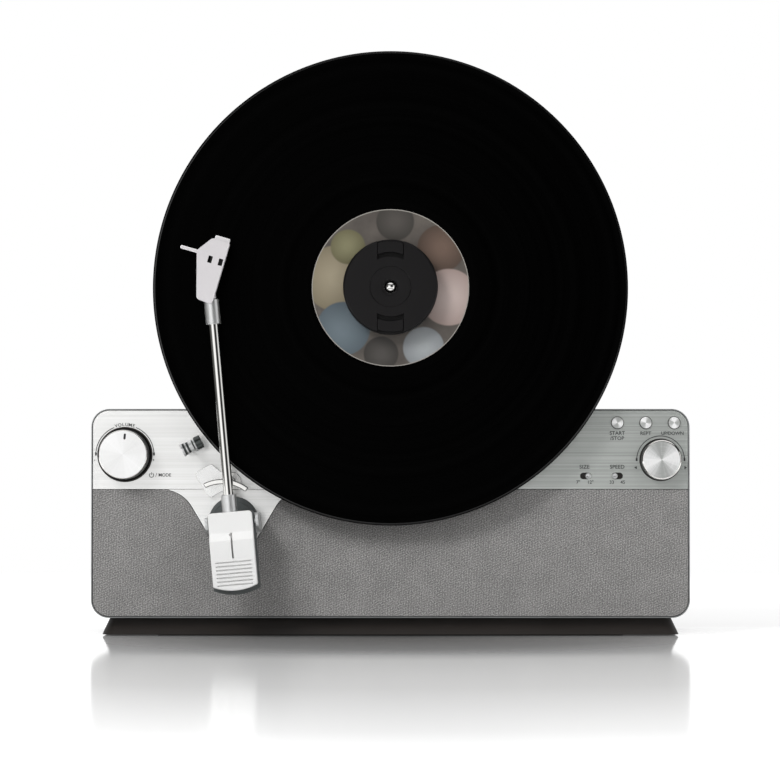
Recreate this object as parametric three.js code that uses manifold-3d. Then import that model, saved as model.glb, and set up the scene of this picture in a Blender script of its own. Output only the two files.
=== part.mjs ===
// A vertical record player. A low cabinet holds two speakers behind a cloth grille and the
// electronics. A tower on its top carries the platter upright, with a record pressed on by a clamp,
// and a gimballed pick-up arm stands on a plinth that hangs from the control fascia.
//
// Everything is drawn as seen from the front: x to the right, y up from the table, z towards the
// viewer, with zero at the fascia's face. The outermost group turns this upright, so that +Z is up.
// All sizes are in millimetres.

import * as THREE from 'three';
import { mergeVertices } from 'three/addons/utils/BufferGeometryUtils.js';
import Module from 'manifold-3d';

const wasm = await Module();
wasm.setup();

const turn = 2 * Math.PI;
const degree = turn / 360;

// Fits
const seatGap = 0.25;
const runGap = 0.3;
const overrun = 1;
const chordError = 0.18;
const weld = 0.0001;
const hiddenSides = 18;
const bossSides = 8;
const platterSides = 40;
const holeSides = 12;

// Cabinet
const cabinetWidth = 383.2;
const cabinetHeight = 133.7;
const cabinetDepth = 100;
const cabinetCorner = 11.5;
const cabinetWall = 4;
const cabinetLift = 11.7;
const frontLip = 0.8;
const frontRebate = 10;
const rearLip = 1.6;
const rearRebate = 3;

// Fascia, grille and the board behind them
const fasciaHeight = 51.3;
const fasciaThickness = 2;
const jointGap = 0.3;
const clothThickness = 1;
const grilleFrameThickness = 3.5;
const grilleRib = 5;
const grilleWindow = 35;
const baffleThickness = 4.75;
const padInset = 1.5;

// Plinth and feet
const plinthInset = 11;
const plinthFlare = 4;
const plinthSetback = 8;
const plinthCorner = 8;
const footHeight = 2.75;
const footWidth = 9;
const footLength = 300;
const footInset = 7;

// Record, label, platter and clamp
const recordRadius = 151;
const recordThickness = 1.9;
const recordRise = 76.6;
const recordStandOff = 16;
const labelRadius = 50;
const labelThickness = 0.4;
const rimBead = 3;
const beadHeight = 0.35;
const spindleRadius = 3.55;
const platterRadius = 85;
const platterThickness = 9.3;
const platterWeb = 5.8;
const platterRim = 6;
const platterHub = 14;
const matThickness = 1.4;
const matInset = 1;
const clampRadius = 30;
const clampThickness = 12.8;
const clampEdge = 1.5;
const clampRingRadius = 12.65;
const clampRingStep = 0.8;
const latchWidth = 16.3;
const latchLength = 6.7;
const latchTravel = 2.6;
const latchThickness = 4.2;

// Tower and drive
const towerHeadRadius = 44;
const towerFootHalf = 60;
const towerDepth = 46;
const towerWall = 2.5;
const towerCoverThickness = 3;
const towerSetback = 1;
const wireHoleWidth = 40;
const wireHoleDepth = 16;
const drivePulleyRadius = 36;
const motorPulleyRadius = 6;
const driveDrop = 55;
const pulleyWidth = 8;
const pulleyLip = 1.5;
const pulleyWeb = 3;
const beltWidth = 4.5;
const beltThickness = 1;
const platterMotorRadius = 14;
const platterMotorLength = 20;
const motorShaftRadius = 1.2;
const bearingSleeveRadius = 8;
const bearingFlangeRadius = 16;
const bearingFlangeThickness = 3;

// Controls
const bushRadius = 4.2;
const knobShaftRadius = 3;
const encoderSize = 13;
const encoderDepth = 9;
const volumePlaceShare = 0.05624;
const volumeSizeShare = 0.04384;
const volumeFromSide = volumePlaceShare * cabinetWidth;
const volumeFromTop = 29.2;
const volumeBaseRadius = volumeSizeShare * cabinetWidth;
const volumeEdge = 1.6;
const volumeFaceRadius = volumeBaseRadius - volumeEdge;
const volumeFace = 15;
const volumeTravel = 1.5;
const pointerLength = 3.8;
const pointerWidth = 1.3;
const pointerDepth = 0.4;
const pointerTilt = -6 * degree;
const jogFromSide = 18.6;
const jogFromTop = 32.6;
const jogBaseRadius = 13;
const jogFaceRadius = 12.2;
const jogFace = 8.8;
const knobEdge = 0.6;
const buttonRadius = 3.7;
const buttonProud = 1.4;
const buttonTravel = 1.2;
const buttonPitch = 18.15;
const buttonFromSide = 9.9;
const buttonFromTop = 8.9;
const buttonFlange = 1;
const buttonEdge = 0.5;
const stemRadius = 2;
const switchPitch = 20.3;
const switchFromSide = 46.3;
const switchFromTop = 42.9;
const nubRadius = 1.8;
const nubProud = 0.6;
const switchTravel = 3.2;
const slotLength = 7.2;
const slotWidth = 4.2;
const shutterMargin = 1;
const shutterThickness = 1.2;

// Boards, sockets and speakers
const boardThickness = 1.6;
const bossRadius = 3.5;
const controlBoardSetback = 4.4;
const controlBoardMargin = 5;
const mainBoardShare = 0.313;
const mainBoardWidth = mainBoardShare * cabinetWidth;
const mainBoardHeight = 80;
const mainBoardStand = 5;
const socketBlockWidth = 62;
const socketBlockHeight = 16;
const socketBlockDepth = 8;
const socketPitch = 15;
const socketRadius = 4.15;
const socketBore = 1.7;
const socketWell = 6.3;
const socketsPlaceShare = 0.287;
const socketsFromSide = socketsPlaceShare * cabinetWidth;
const socketsFromTop = 42;
const speakerFromSide = 38;
const speakerFromBottom = 41;
const speakerMouth = 18.4;
const speakerFlange = 25;
const speakerFlangeThickness = 1.6;
const speakerDepth = 28;
const magnetRadius = 15;
const magnetThickness = 10;
const coneHalfWall = 0.5;
const ventWidth = 3;
const ventHeight = 30;
const ventPitch = 8;
const ventCount = 7;

// Arm plinth and pivot, with the arm's tilt as it stands. The pivot is placed from the record.
const pivotAcross = 100.3;
const pivotDrop = 148.8;
const armTilt = 5.1 * degree;
const parkTurn = 21.4 * degree;
const armAxisHeight = 33;
const armReach = 43;
const tabTopHalf = 33.3;
const tabTaper = 30.5 * degree;
const tabTipRadius = 10;
const tabFillet = 22.5;
const turretRadius = 16;
const turretProud = 3;
const turretNeck = 12.5;
const turretBack = 17;
const turretTail = 30;
const turretTailRadius = 7.5;
const yokeShaftRadius = 4;
const yokeShaftEnd = 33;
const yokeBase = 4;
const yokeBaseThickness = 4;
const earThickness = 1.8;
const earGap = 1;
const yokeSideShift = 0.7;
const earHalfFoot = 5.5;
const earShift = -2.7;
const earHeadRadius = 4.4;
const axleRadius = 1.5;

// Arm, in its own frame: x across, y along the tube from the pivot, z from the tube's axis
const blockHalfWidth = 14;
const blockTail = 42.4;
const blockHead = 6.8;
const blockBack = -8;
const blockThinFront = 5.5;
const slopeStart = 5.8;
const slopeEnd = 11;
const blockSagitta = 3;
const blockCorner = 2.5;
const blockEdge = 0.8;
const slitWidth = 1.1;
const slitStart = 6.2;
const slitEnd = 22.2;
const slitNubRadius = 1.5;
const slitDepth = 1.5;
const gripCount = 7;
const gripStart = 24.4;
const gripEnd = 38.7;
const gripLength = 22.5;
const gripDepth = 0.7;
const gripWidth = 0.9;
const tubeRadius = 3.1;
const tubeBore = 2.4;
const tubeStart = 8;
const tubeEnd = 130;
const tailCollarStart = 5;
const tailCollarEnd = 17.6;
const tailCollarRadius = 4.7;
const frontCollarStart = 125.2;
const frontCollarEnd = 141;
const frontCollarRadius = 4.75;
const collarEdge = 0.4;
const tangRadius = 2.5;
const tangLength = 8;

// Headshell, in its own frame: x to the left is negative, y towards its tip
const headX = 1.5;
const headY = 139.5;
const headTurn = 21.1 * degree;
const headWidth = 18.4;
const headNeckWidth = 10.7;
const headShoulderLow = 26.3;
const headShoulderHigh = 28.5;
const headLength = 38;
const headTipWidth = 11.4;
const headHeel = 0.9;
const headCorner = 1.2;
const headFront = 7;
const headDepth = 6;
const headWall = 1.4;
const headTabLength = 2.3;
const headTabWidth = 10;
const headTabThickness = 2.2;
const fingerReach = 29.3;
const fingerWidth = 2.2;
const fingerHeight = 27.3;
const fingerThickness = 1.6;
const windowWidth = 2.6;
const windowLength = 4.2;
const windowHeight = 24.6;
const windowInnerX = -2.4;
const windowOuterX = -9.2;
const cartridgeWidth = 7.6;
const cartridgeStart = 19;
const cartridgeEnd = 36.2;
const cartridgeBack = -5.6;
const cartridgeSlope = 3;
const stylusX = -5.5;
const stylusY = 36;
const stylusTip = -8.6;
const stylusHolderWidth = 5;
const stylusHolderLength = 13;
const stylusHolderThickness = 1.5;
const cantileverLength = 2.4;
const cantileverWidth = 1.4;
const tipRadius = 0.5;

// Arm rest, lifter and the arm's drive
const restDistance = 54.5;
const restLength = 15.5;
const restRadius = 4.75;
const restFront = 29.05;
const restWaistRadius = 3.6;
const restWaistHalf = 3.7;
const restPostRadius = 3;
const restRing = 1.2;
const restRingDepth = 0.7;
const lifterCentreX = -2.1;
const lifterCentreY = 4.7;
const lifterRadius = 22.4;
const lifterWidth = 3.5;
const lifterHalfSweep = 37 * degree;
const lifterThickness = 3.6;
const lifterPostRadius = 2;
const lifterPostEnd = 24;
const guideThickness = 2.6;
const guideInner = 20.8;
const guideFrom = 78 * degree;
const guideTo = 128 * degree;
const guideLeftCorners = [[-15.5, 36.9], [-23.9, 31.2], [-23.6, 29.2], [-16.6, 16.9]];
const guideRightCorners = [[5, 27], [1.5, 31.5], [-7.8, 32], [-13.6, 37]];
const guideBushRadius = 4;
const guideBushProud = 10;
const actuatorWidth = 22;
const actuatorHeight = 14;
const actuatorDepth = 18;
const gearModule = 0.8;
const gearTeeth = 45;
const pinionTeeth = 15;
const sectorTeeth = 9;
const gearThickness = 4;
const gearHubRadius = 7;
const gearBacklash = 0.3;
const pressureAngle = 20 * degree;
const addendumShare = 0.9;
const dedendumShare = 1.2;
const flankShares = [0, 0.5, 1];
const armMotorRadius = 7.5;
const armMotorLength = 6.8;
const armMotorShaft = 0.9;

// Places that follow from the sizes above
const cabinetBottom = cabinetLift;
const cabinetTop = cabinetBottom + cabinetHeight;
const cabinetMiddle = (cabinetBottom + cabinetTop) / 2;
const cabinetSide = cabinetWidth / 2;
const faceInset = frontLip + runGap;
const fasciaBottom = cabinetTop - fasciaHeight;
const grilleTop = fasciaBottom - jointGap;
const grilleFrameFront = -clothThickness - seatGap;
const grilleFrameBack = grilleFrameFront - grilleFrameThickness;
const baffleFace = grilleFrameBack - seatGap;
const baffleBack = baffleFace - baffleThickness;
const padFace = -fasciaThickness - seatGap;
const rearFace = -cabinetDepth;
const rearPanelFront = rearFace + rearRebate - seatGap;
const recordCentre = cabinetTop + recordRise;
const recordFace = recordStandOff + recordThickness;
const boreRadius = spindleRadius + runGap;
const pivotX = -pivotAcross;
const pivotY = recordCentre - pivotDrop;
const volumeX = volumeFromSide - cabinetSide;
const volumeY = cabinetTop - volumeFromTop;
const jogX = cabinetSide - jogFromSide;
const jogY = cabinetTop - jogFromTop;
const buttonY = cabinetTop - buttonFromTop;
const buttonNames = ['start_button', 'repeat_button', 'lift_button'];
const buttonXs = buttonNames.map((name, i) => {
  const fromLast = buttonNames.length - 1 - i;
  return cabinetSide - buttonFromSide - fromLast * buttonPitch;
});
const speedX = cabinetSide - switchFromSide;
const sizeX = speedX - switchPitch;
const switchY = cabinetTop - switchFromTop;
const speakerY = cabinetBottom + speakerFromBottom;
const speakerXs = [speakerFromSide - cabinetSide, cabinetSide - speakerFromSide];
const gearDistance = gearModule * (gearTeeth + pinionTeeth) / 2;
const pinionX = pivotX + gearDistance;

// The finishes seen in the photograph, each as colour, roughness and metalness.
const finishes = {
  shell: [0x4b4c4e, 0.45, 0.2],
  brushed: [0xd9dad7, 0.35, 0.9],
  cloth: [0x8a8585, 0.95, 0],
  black: [0x1f1b1a, 0.6, 0],
  rubber: [0x151414, 0.9, 0],
  paper: [0x8d8a86, 0.9, 0],
  steel: [0x9a9b9c, 0.4, 0.9],
  board: [0x1d4a33, 0.7, 0],
  vinyl: [0x0a0a0b, 0.2, 0],
  label: [0xb7a894, 0.7, 0],
  clamp: [0x1c1a1b, 0.5, 0],
  chrome: [0xe4e4e4, 0.1, 1],
  satin: [0xc9cac9, 0.35, 0.9],
  silver: [0xececec, 0.4, 0.3],
  shellGrey: [0xd8d6d8, 0.5, 0.1],
  turret: [0x5c6060, 0.4, 0.4],
  brass: [0xc2a14f, 0.35, 0.9],
  nylon: [0xe9e6dc, 0.6, 0],
};

// How many straight steps an arc takes, so that no facet leaves the true curve by much.
function arcSteps(radius, sweep) {
  const finest = 2 * Math.acos(1 - Math.min(chordError / radius, 0.5));
  const coarsest = turn / 10;
  return Math.ceil(Math.abs(sweep) / Math.min(finest, coarsest) - weld);
}

function arcPoints(x, y, radius, from, to, steps = arcSteps(radius, to - from)) {
  return Array.from({ length: steps + 1 }, (_, i) => {
    const angle = from + (to - from) * i / steps;
    return new THREE.Vector2(x + radius * Math.cos(angle), y + radius * Math.sin(angle));
  });
}

// A full circle. A hole's facets lie outside the true circle, so that what fits it clears it.
function circle(x, y, radius, steps = arcSteps(radius, turn)) {
  return arcPoints(x, y, radius, 0, turn, steps).slice(1);
}

function holeCircle(x, y, radius, steps = arcSteps(radius, turn)) {
  return arcPoints(x, y, radius / Math.cos(turn / 2 / steps), 0, turn, steps).slice(1);
}

// A rectangle with rounded lower and upper corners. A corner of zero stays sharp.
function panel(left, bottom, right, top, lowCorner = 0, highCorner = lowCorner) {
  const corner = (x, y, radius, from) => (
    radius > 0 ? arcPoints(x, y, radius, from, from + turn / 4) : [new THREE.Vector2(x, y)]
  );
  return tidyOutline([
    ...corner(right - lowCorner, bottom + lowCorner, lowCorner, -turn / 4),
    ...corner(right - highCorner, top - highCorner, highCorner, 0),
    ...corner(left + highCorner, top - highCorner, highCorner, turn / 4),
    ...corner(left + lowCorner, bottom + lowCorner, lowCorner, turn / 2),
  ]);
}

function centredPanel(x, y, width, height, corner = 0) {
  return panel(x - width / 2, y - height / 2, x + width / 2, y + height / 2, corner);
}

// Points that fall on their neighbour are left out.
function tidyOutline(points) {
  return points.filter((point, i) => {
    const last = points[(i + points.length - 1) % points.length];
    return point.distanceTo(last) > weld;
  });
}

// A tongue with a straight foot and a round head, its sides tangent to the head.
function tongue(footLeft, footRight, footY, headCentreX, headCentreY, headRadius) {
  const tangent = (footX, side) => {
    const away = Math.hypot(footX - headCentreX, footY - headCentreY);
    const towards = Math.atan2(footY - headCentreY, footX - headCentreX);
    return towards + side * Math.acos(headRadius / away);
  };
  const from = tangent(footRight, 1);
  const to = tangent(footLeft, -1) + turn;
  return [
    new THREE.Vector2(footLeft, footY),
    new THREE.Vector2(footRight, footY),
    ...arcPoints(headCentreX, headCentreY, headRadius, from, to),
  ];
}

// An outline raised from back to front.
function prism(outline, back, front, holes = []) {
  const shape = new THREE.Shape(outline);
  shape.holes = holes.map((hole) => new THREE.Path(hole));
  const geometry = new THREE.ExtrudeGeometry(shape, { depth: front - back, bevelEnabled: false });
  return geometry.translate(0, 0, back);
}

// The same with its front and back edges chamfered.
function chamferedPrism(outline, back, front, edge) {
  const geometry = new THREE.ExtrudeGeometry(new THREE.Shape(outline), {
    depth: front - back - 2 * edge,
    bevelThickness: edge,
    bevelSize: edge,
    bevelOffset: -edge,
    bevelSegments: 1,
  });
  return geometry.translate(0, 0, back + edge);
}

function block(left, bottom, back, right, top, front) {
  const geometry = new THREE.BoxGeometry(right - left, top - bottom, front - back);
  return geometry.translate((left + right) / 2, (bottom + top) / 2, (back + front) / 2);
}

// A profile of [radius, place along z] pairs, turned about z.
function turned(profile, sides) {
  const points = profile.map(([radius, along]) => new THREE.Vector2(radius, along));
  const widest = Math.max(...points.map((point) => point.x));
  const geometry = new THREE.LatheGeometry(points, sides ?? arcSteps(widest, turn));
  return geometry.rotateX(turn / 4);
}

function rod(radius, back, front) {
  return prism(circle(0, 0, radius), back, front);
}

// Two outlines with as many points each, joined by straight sides.
function loft(lowOutline, highOutline, low, high) {
  const count = lowOutline.length;
  const corners = [...lowOutline.map((p) => [p.x, p.y, low]), ...highOutline.map((p) => [p.x, p.y, high])];
  const faces = THREE.ShapeUtils.triangulateShape(lowOutline, []);
  const index = [];
  for (const [a, b, c] of faces) index.push(a, c, b, a + count, b + count, c + count);
  for (let i = 0; i < count; i += 1) {
    const next = (i + 1) % count;
    index.push(i, next, next + count, i, next + count, i + count);
  }
  const geometry = new THREE.BufferGeometry();
  geometry.setAttribute('position', new THREE.Float32BufferAttribute(corners.flat(), 3));
  return geometry.setIndex(index);
}

// Turn a shape drawn along z so that it runs along x, or along y, with no change of hand.
function alongX(geometry) {
  return geometry.applyMatrix4(new THREE.Matrix4().set(0, 0, 1, 0, 1, 0, 0, 0, 0, 1, 0, 0, 0, 0, 0, 1));
}

function alongY(geometry) {
  return geometry.applyMatrix4(new THREE.Matrix4().set(0, 1, 0, 0, 0, 0, 1, 0, 1, 0, 0, 0, 0, 0, 0, 1));
}

function signedVolume(position, index) {
  const [a, b, c] = [new THREE.Vector3(), new THREE.Vector3(), new THREE.Vector3()];
  let volume = 0;
  for (let i = 0; i < index.length; i += 3) {
    a.fromBufferAttribute(position, index[i]);
    b.fromBufferAttribute(position, index[i + 1]);
    c.fromBufferAttribute(position, index[i + 2]);
    volume += a.dot(b.cross(c));
  }
  return volume;
}

// A closed mesh as a solid that can be joined and cut, with its faces pointing out.
function solidOf(geometry) {
  const bare = new THREE.BufferGeometry();
  bare.setAttribute('position', geometry.getAttribute('position').clone());
  if (geometry.index) bare.setIndex(geometry.index.clone());
  const merged = mergeVertices(bare, weld);
  const position = merged.getAttribute('position');
  const index = [];
  for (let i = 0; i < merged.index.count; i += 3) {
    const [a, b, c] = [0, 1, 2].map((corner) => merged.index.getX(i + corner));
    if (a !== b && b !== c && c !== a) index.push(a, b, c);
  }
  if (signedVolume(position, index) < 0) index.reverse();
  return new wasm.Manifold(new wasm.Mesh({
    numProp: 3,
    vertProperties: new Float32Array(position.array),
    triVerts: new Uint32Array(index),
  }));
}

function geometryOf(solid) {
  const { vertProperties, triVerts } = solid.getMesh();
  const geometry = new THREE.BufferGeometry();
  geometry.setAttribute('position', new THREE.Float32BufferAttribute(vertProperties, 3));
  return geometry.setIndex(Array.from(triVerts));
}

function joined(...shapes) {
  return geometryOf(shapes.map(solidOf).reduce((whole, shape) => whole.add(shape)));
}

function cut(base, ...tools) {
  return geometryOf(tools.map(solidOf).reduce((rest, tool) => rest.subtract(tool), solidOf(base)));
}

function common(base, other) {
  return geometryOf(solidOf(base).intersect(solidOf(other)));
}

function at(x, y, z = 0, parent = undefined, turnZ = 0) {
  const group = new THREE.Group();
  group.position.set(x, y, z);
  group.rotation.z = turnZ;
  parent?.add(group);
  return group;
}

const player = new THREE.Group();

function part(name, geometry, finish, group = player) {
  const [color, roughness, metalness] = finishes[finish];
  const faceted = geometry.index ? geometry.toNonIndexed() : geometry;
  faceted.computeVertexNormals();
  const mesh = new THREE.Mesh(faceted, new THREE.MeshStandardMaterial({ color, roughness, metalness }));
  mesh.name = name;
  group.add(mesh);
  return mesh;
}

// Outlines that several pieces share

function cabinetOutline(inset) {
  const side = cabinetSide - inset;
  const corner = Math.max(cabinetCorner - inset, seatGap);
  return panel(-side, cabinetBottom + inset, side, cabinetTop - inset, corner);
}

const fasciaOutline = panel(
  faceInset - cabinetSide, fasciaBottom, cabinetSide - faceInset, cabinetTop - faceInset,
  0, cabinetCorner - faceInset,
);

function grilleOutline(inset) {
  const side = cabinetSide - faceInset - inset;
  const corner = cabinetCorner - faceInset - inset;
  return panel(-side, cabinetBottom + faceInset + inset, side, grilleTop - inset, corner, 0);
}

// The tab that hangs from the fascia round the arm's pivot. Its sides meet the fascia's lower edge
// in fillets and run together to a round tip. It can be drawn larger or smaller all round.
function tabOutline(grow) {
  const filletReach = tabFillet / Math.tan((turn / 4 + tabTaper) / 2);
  const filletX = tabTopHalf + filletReach;
  const filletY = grilleTop - tabFillet;
  const tipHalf = tabTipRadius / Math.cos(tabTaper);
  const tipY = grilleTop - (tabTopHalf - tipHalf) / Math.tan(tabTaper);
  const feather = 12 * degree;
  const fillet = tabFillet - grow;
  return [
    ...arcPoints(pivotX - filletX, filletY, fillet, turn / 4 - feather, tabTaper),
    ...arcPoints(pivotX, tipY, tabTipRadius + grow, turn / 2 + tabTaper, turn - tabTaper),
    ...arcPoints(pivotX + filletX, filletY, fillet, turn / 2 - tabTaper, turn / 4 + feather),
  ];
}

// Holes that the fascia and the baffle have in the same places
const lifterPostX = pivotX + lifterCentreX;
const lifterPostY = pivotY + lifterCentreY + lifterRadius;

// Cabinet shell: an open-ended case with a rebate for the front and one for the rear panel.
part('cabinet_shell', cut(
  prism(cabinetOutline(0), rearFace, 0),
  prism(cabinetOutline(cabinetWall), rearFace - overrun, overrun),
  prism(cabinetOutline(frontLip), -frontRebate, overrun),
  prism(cabinetOutline(rearLip), rearFace - overrun, rearFace + rearRebate),
  wireHole(cabinetTop - cabinetWall - overrun, cabinetTop + overrun),
), 'shell');

// The wires from the tower pass into the cabinet through a slot in both walls.
function wireHole(low, high) {
  const middle = -towerSetback - towerDepth / 2;
  return block(
    -wireHoleWidth / 2, low, middle - wireHoleDepth / 2,
    wireHoleWidth / 2, high, middle + wireHoleDepth / 2,
  );
}

// Front baffle: the moulded board that carries the fascia, the grille, the speakers and controls.
const encoderPlaces = [[volumeX, volumeY], [jogX, jogY]];
const shutterLength = slotLength + switchTravel + 2 * shutterMargin;
const shutterWidth = slotWidth + 2 * shutterMargin;
const buttonFlangeRadius = buttonRadius + buttonFlange;
const controlBoardFront = baffleBack - controlBoardSetback;
const controlBoardLeft = sizeX - shutterLength / 2 - controlBoardMargin;
const controlBoardRight = cabinetSide - cabinetWall - controlBoardMargin / 2;
const controlBoardTop = cabinetTop - cabinetWall - controlBoardMargin / 2;
const controlBoardBottom = switchY - shutterWidth - controlBoardMargin;
const standoffInset = 2 * bossRadius;
const standoffPlaces = [
  [controlBoardLeft + bossRadius, controlBoardBottom + bossRadius],
  [controlBoardLeft + bossRadius, controlBoardTop - bossRadius],
  [controlBoardRight - bossRadius, controlBoardBottom + bossRadius],
];
const armNeckHole = turretNeck + runGap;

part('front_baffle', cut(
  joined(
    prism(cabinetOutline(faceInset), baffleBack, baffleFace),
    prism(panel(
      padInset + faceInset - cabinetSide, fasciaBottom + padInset,
      cabinetSide - faceInset - padInset, cabinetTop - faceInset - padInset,
      0, cabinetCorner - faceInset - padInset,
    ), baffleFace - overrun, padFace),
    prism(tabOutline(-padInset), baffleFace - overrun, padFace),
    ...standoffPlaces.map(([x, y]) => (
      prism(circle(x, y, bossRadius, bossSides), controlBoardFront + seatGap, baffleBack + overrun)
    )),
  ),
  ...speakerXs.map((x) => through(holeCircle(x, speakerY, speakerMouth, hiddenSides))),
  ...encoderPlaces.map(([x, y]) => through(holeCircle(x, y, bushRadius + runGap, holeSides))),
  ...buttonXs.map((x) => (
    through(holeCircle(x, buttonY, buttonFlangeRadius + runGap, holeSides))
  )),
  ...[sizeX, speedX].map((x) => through(centredPanel(
    x, switchY, shutterLength + switchTravel + 2 * runGap, shutterWidth + 2 * runGap,
  ))),
  through(holeCircle(lifterPostX, lifterPostY, lifterPostRadius + runGap, holeSides)),
  through(holeCircle(pivotX, pivotY, armNeckHole, hiddenSides)),
), 'black');

function through(outline) {
  return prism(outline, baffleBack - overrun, overrun);
}

// Control fascia: a brushed aluminium plate with the controls' holes.
part('control_fascia', prism(fasciaOutline, -fasciaThickness, 0, [
  ...encoderPlaces.map(([x, y]) => holeCircle(x, y, bushRadius + runGap)),
  ...buttonXs.map((x) => holeCircle(x, buttonY, buttonRadius + runGap)),
  ...[sizeX, speedX].map((x) => centredPanel(x, switchY, slotLength, slotWidth, slotWidth / 2)),
  holeCircle(lifterPostX, lifterPostY, lifterPostRadius + runGap),
]), 'brushed');

// Arm plinth: the tab below the fascia, of the same plate.
part('arm_plinth', prism(tabOutline(0), -fasciaThickness, 0, [
  holeCircle(pivotX, pivotY, armNeckHole),
]), 'brushed');

// Grille: a ribbed frame with cloth stretched over its face. Both are cut away round the arm plinth.
const tabClearance = tabOutline(jointGap);
const tabCut = (back, front) => prism([
  ...tabClearance,
  new THREE.Vector2(tabClearance.at(-1).x, grilleTop + overrun),
  new THREE.Vector2(tabClearance[0].x, grilleTop + overrun),
], back, front);

function grilleWindows() {
  const low = cabinetBottom + faceInset;
  const pitch = grilleWindow + grilleRib;
  const columns = Math.floor((cabinetWidth - 2 * faceInset - grilleRib) / pitch);
  const rows = Math.floor((grilleTop - low - grilleRib) / pitch);
  const windowHeight = (grilleTop - low - (rows + 1) * grilleRib) / rows;
  const rise = windowHeight + grilleRib;
  const windows = [];
  for (let column = 0; column < columns; column += 1) {
    for (let row = 0; row < rows; row += 1) {
      const x = (column - (columns - 1) / 2) * pitch;
      const y = low + grilleRib + windowHeight / 2 + row * rise;
      const clear = Math.abs(x - pivotX) > tabTopHalf + grilleWindow / 2 + grilleRib;
      if (clear) windows.push(centredPanel(x, y, grilleWindow, windowHeight));
    }
  }
  return windows;
}

part('grille_frame', cut(
  prism(grilleOutline(seatGap), grilleFrameBack, grilleFrameFront),
  tabCut(grilleFrameBack - overrun, grilleFrameFront + overrun),
  ...grilleWindows().map((outline) => (
    prism(outline, grilleFrameBack - overrun, grilleFrameFront + overrun)
  )),
), 'black');

part('grille_cloth', cut(
  prism(grilleOutline(0), -clothThickness, 0),
  tabCut(-clothThickness - overrun, overrun),
), 'cloth');

// Rear panel: it closes the cabinet, with cooling slots, wells for the sockets and board bosses.
const socketsX = cabinetSide - socketsFromSide;
const socketsY = cabinetTop - socketsFromTop;
const socketXs = [-1.5, -0.5, 0.5, 1.5].map((step) => socketsX + step * socketPitch);
const [lineLeftX, lineRightX, auxX, powerX] = socketXs;
const rearOutline = cabinetOutline(rearLip + runGap);
const mainBoardX = -mainBoardWidth / 6;
const mainBoardY = cabinetBottom + cabinetWall + controlBoardMargin + mainBoardHeight / 2;
const mainBoardBack = rearPanelFront + mainBoardStand;
const boardCorners = [[-1, -1], [-1, 1], [1, -1], [1, 1]].map(([sideX, sideY]) => [
  mainBoardX + sideX * (mainBoardWidth / 2 - standoffInset / 2),
  mainBoardY + sideY * (mainBoardHeight / 2 - standoffInset / 2),
]);
const ventsX = -cabinetSide / 2;

const rearOpenings = [
  ...Array.from({ length: ventCount }, (_, i) => centredPanel(
    ventsX + (i - (ventCount - 1) / 2) * ventPitch, cabinetMiddle, ventWidth, ventHeight,
  )),
  ...[lineLeftX, lineRightX].map((x) => holeCircle(x, socketsY, socketWell)),
  holeCircle(auxX, socketsY, socketRadius + runGap, holeSides),
  centredPanel(powerX, socketsY, 2 * socketRadius + 2 * runGap, 2 * socketRadius + 2 * runGap),
];

part('rear_panel', cut(
  joined(
    prism(rearOutline, rearFace, rearPanelFront),
    ...boardCorners.map(([x, y]) => (
      prism(circle(x, y, bossRadius, bossSides), rearPanelFront - overrun, mainBoardBack - seatGap)
    )),
  ),
  ...rearOpenings.map((outline) => prism(outline, rearFace - overrun, rearPanelFront + overrun)),
), 'black');

// Plinth under the cabinet, flared a little towards its foot, on two rubber strips.
function plinthOutline(grow) {
  const side = cabinetSide - plinthInset + grow;
  return panel(
    -cabinetDepth + plinthSetback - grow, -side, -plinthSetback + grow, side, plinthCorner,
  );
}

const plinthLow = footHeight + seatGap;
part('base_plinth', alongY(
  loft(plinthOutline(plinthFlare), plinthOutline(0), plinthLow, cabinetBottom - seatGap),
), 'black');

for (const [name, z] of [
  ['foot_front', -plinthSetback - footInset],
  ['foot_rear', -cabinetDepth + plinthSetback + footInset],
]) {
  part(name, alongY(prism(
    centredPanel(z, 0, footWidth, footLength, footWidth / 2), 0, footHeight,
  )), 'rubber');
}

// Speakers: a basket with its magnet, and the cone that it holds, both behind the baffle.
const speakerFront = baffleBack - seatGap;
const magnetBack = speakerFront - speakerDepth;
const basketBottom = magnetBack + magnetThickness;
const basketWall = speakerFlangeThickness;

function basketProfile() {
  const innerMouth = speakerMouth + basketWall;
  return [
    [0, magnetBack],
    [magnetRadius, magnetBack],
    [magnetRadius, basketBottom],
    [innerMouth + basketWall, speakerFront - speakerFlangeThickness],
    [speakerFlange, speakerFront - speakerFlangeThickness],
    [speakerFlange, speakerFront],
    [innerMouth, speakerFront],
    [innerMouth, speakerFront - 2 * speakerFlangeThickness],
    [magnetRadius - basketWall, basketBottom + basketWall],
    [0, basketBottom + basketWall],
  ];
}

function coneProfile() {
  const mouth = speakerMouth + basketWall - runGap;
  const capRadius = magnetRadius / 2;
  const neck = basketBottom + basketWall + seatGap;
  const dome = capRadius / 2;
  return [
    [0, neck],
    [capRadius, neck],
    [mouth, speakerFront - 2 * speakerFlangeThickness + coneHalfWall],
    [mouth, speakerFront - coneHalfWall],
    [mouth - basketWall, speakerFront - coneHalfWall],
    [capRadius, neck + dome],
    [0, neck + dome + capRadius / 3],
  ];
}

speakerXs.forEach((x, i) => {
  const side = ['left', 'right'][i];
  const group = at(x, speakerY, 0, player);
  part(`speaker_frame_${side}`, turned(basketProfile(), hiddenSides), 'steel', group);
  part(`speaker_cone_${side}`, turned(coneProfile(), hiddenSides), 'paper', group);
});

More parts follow.
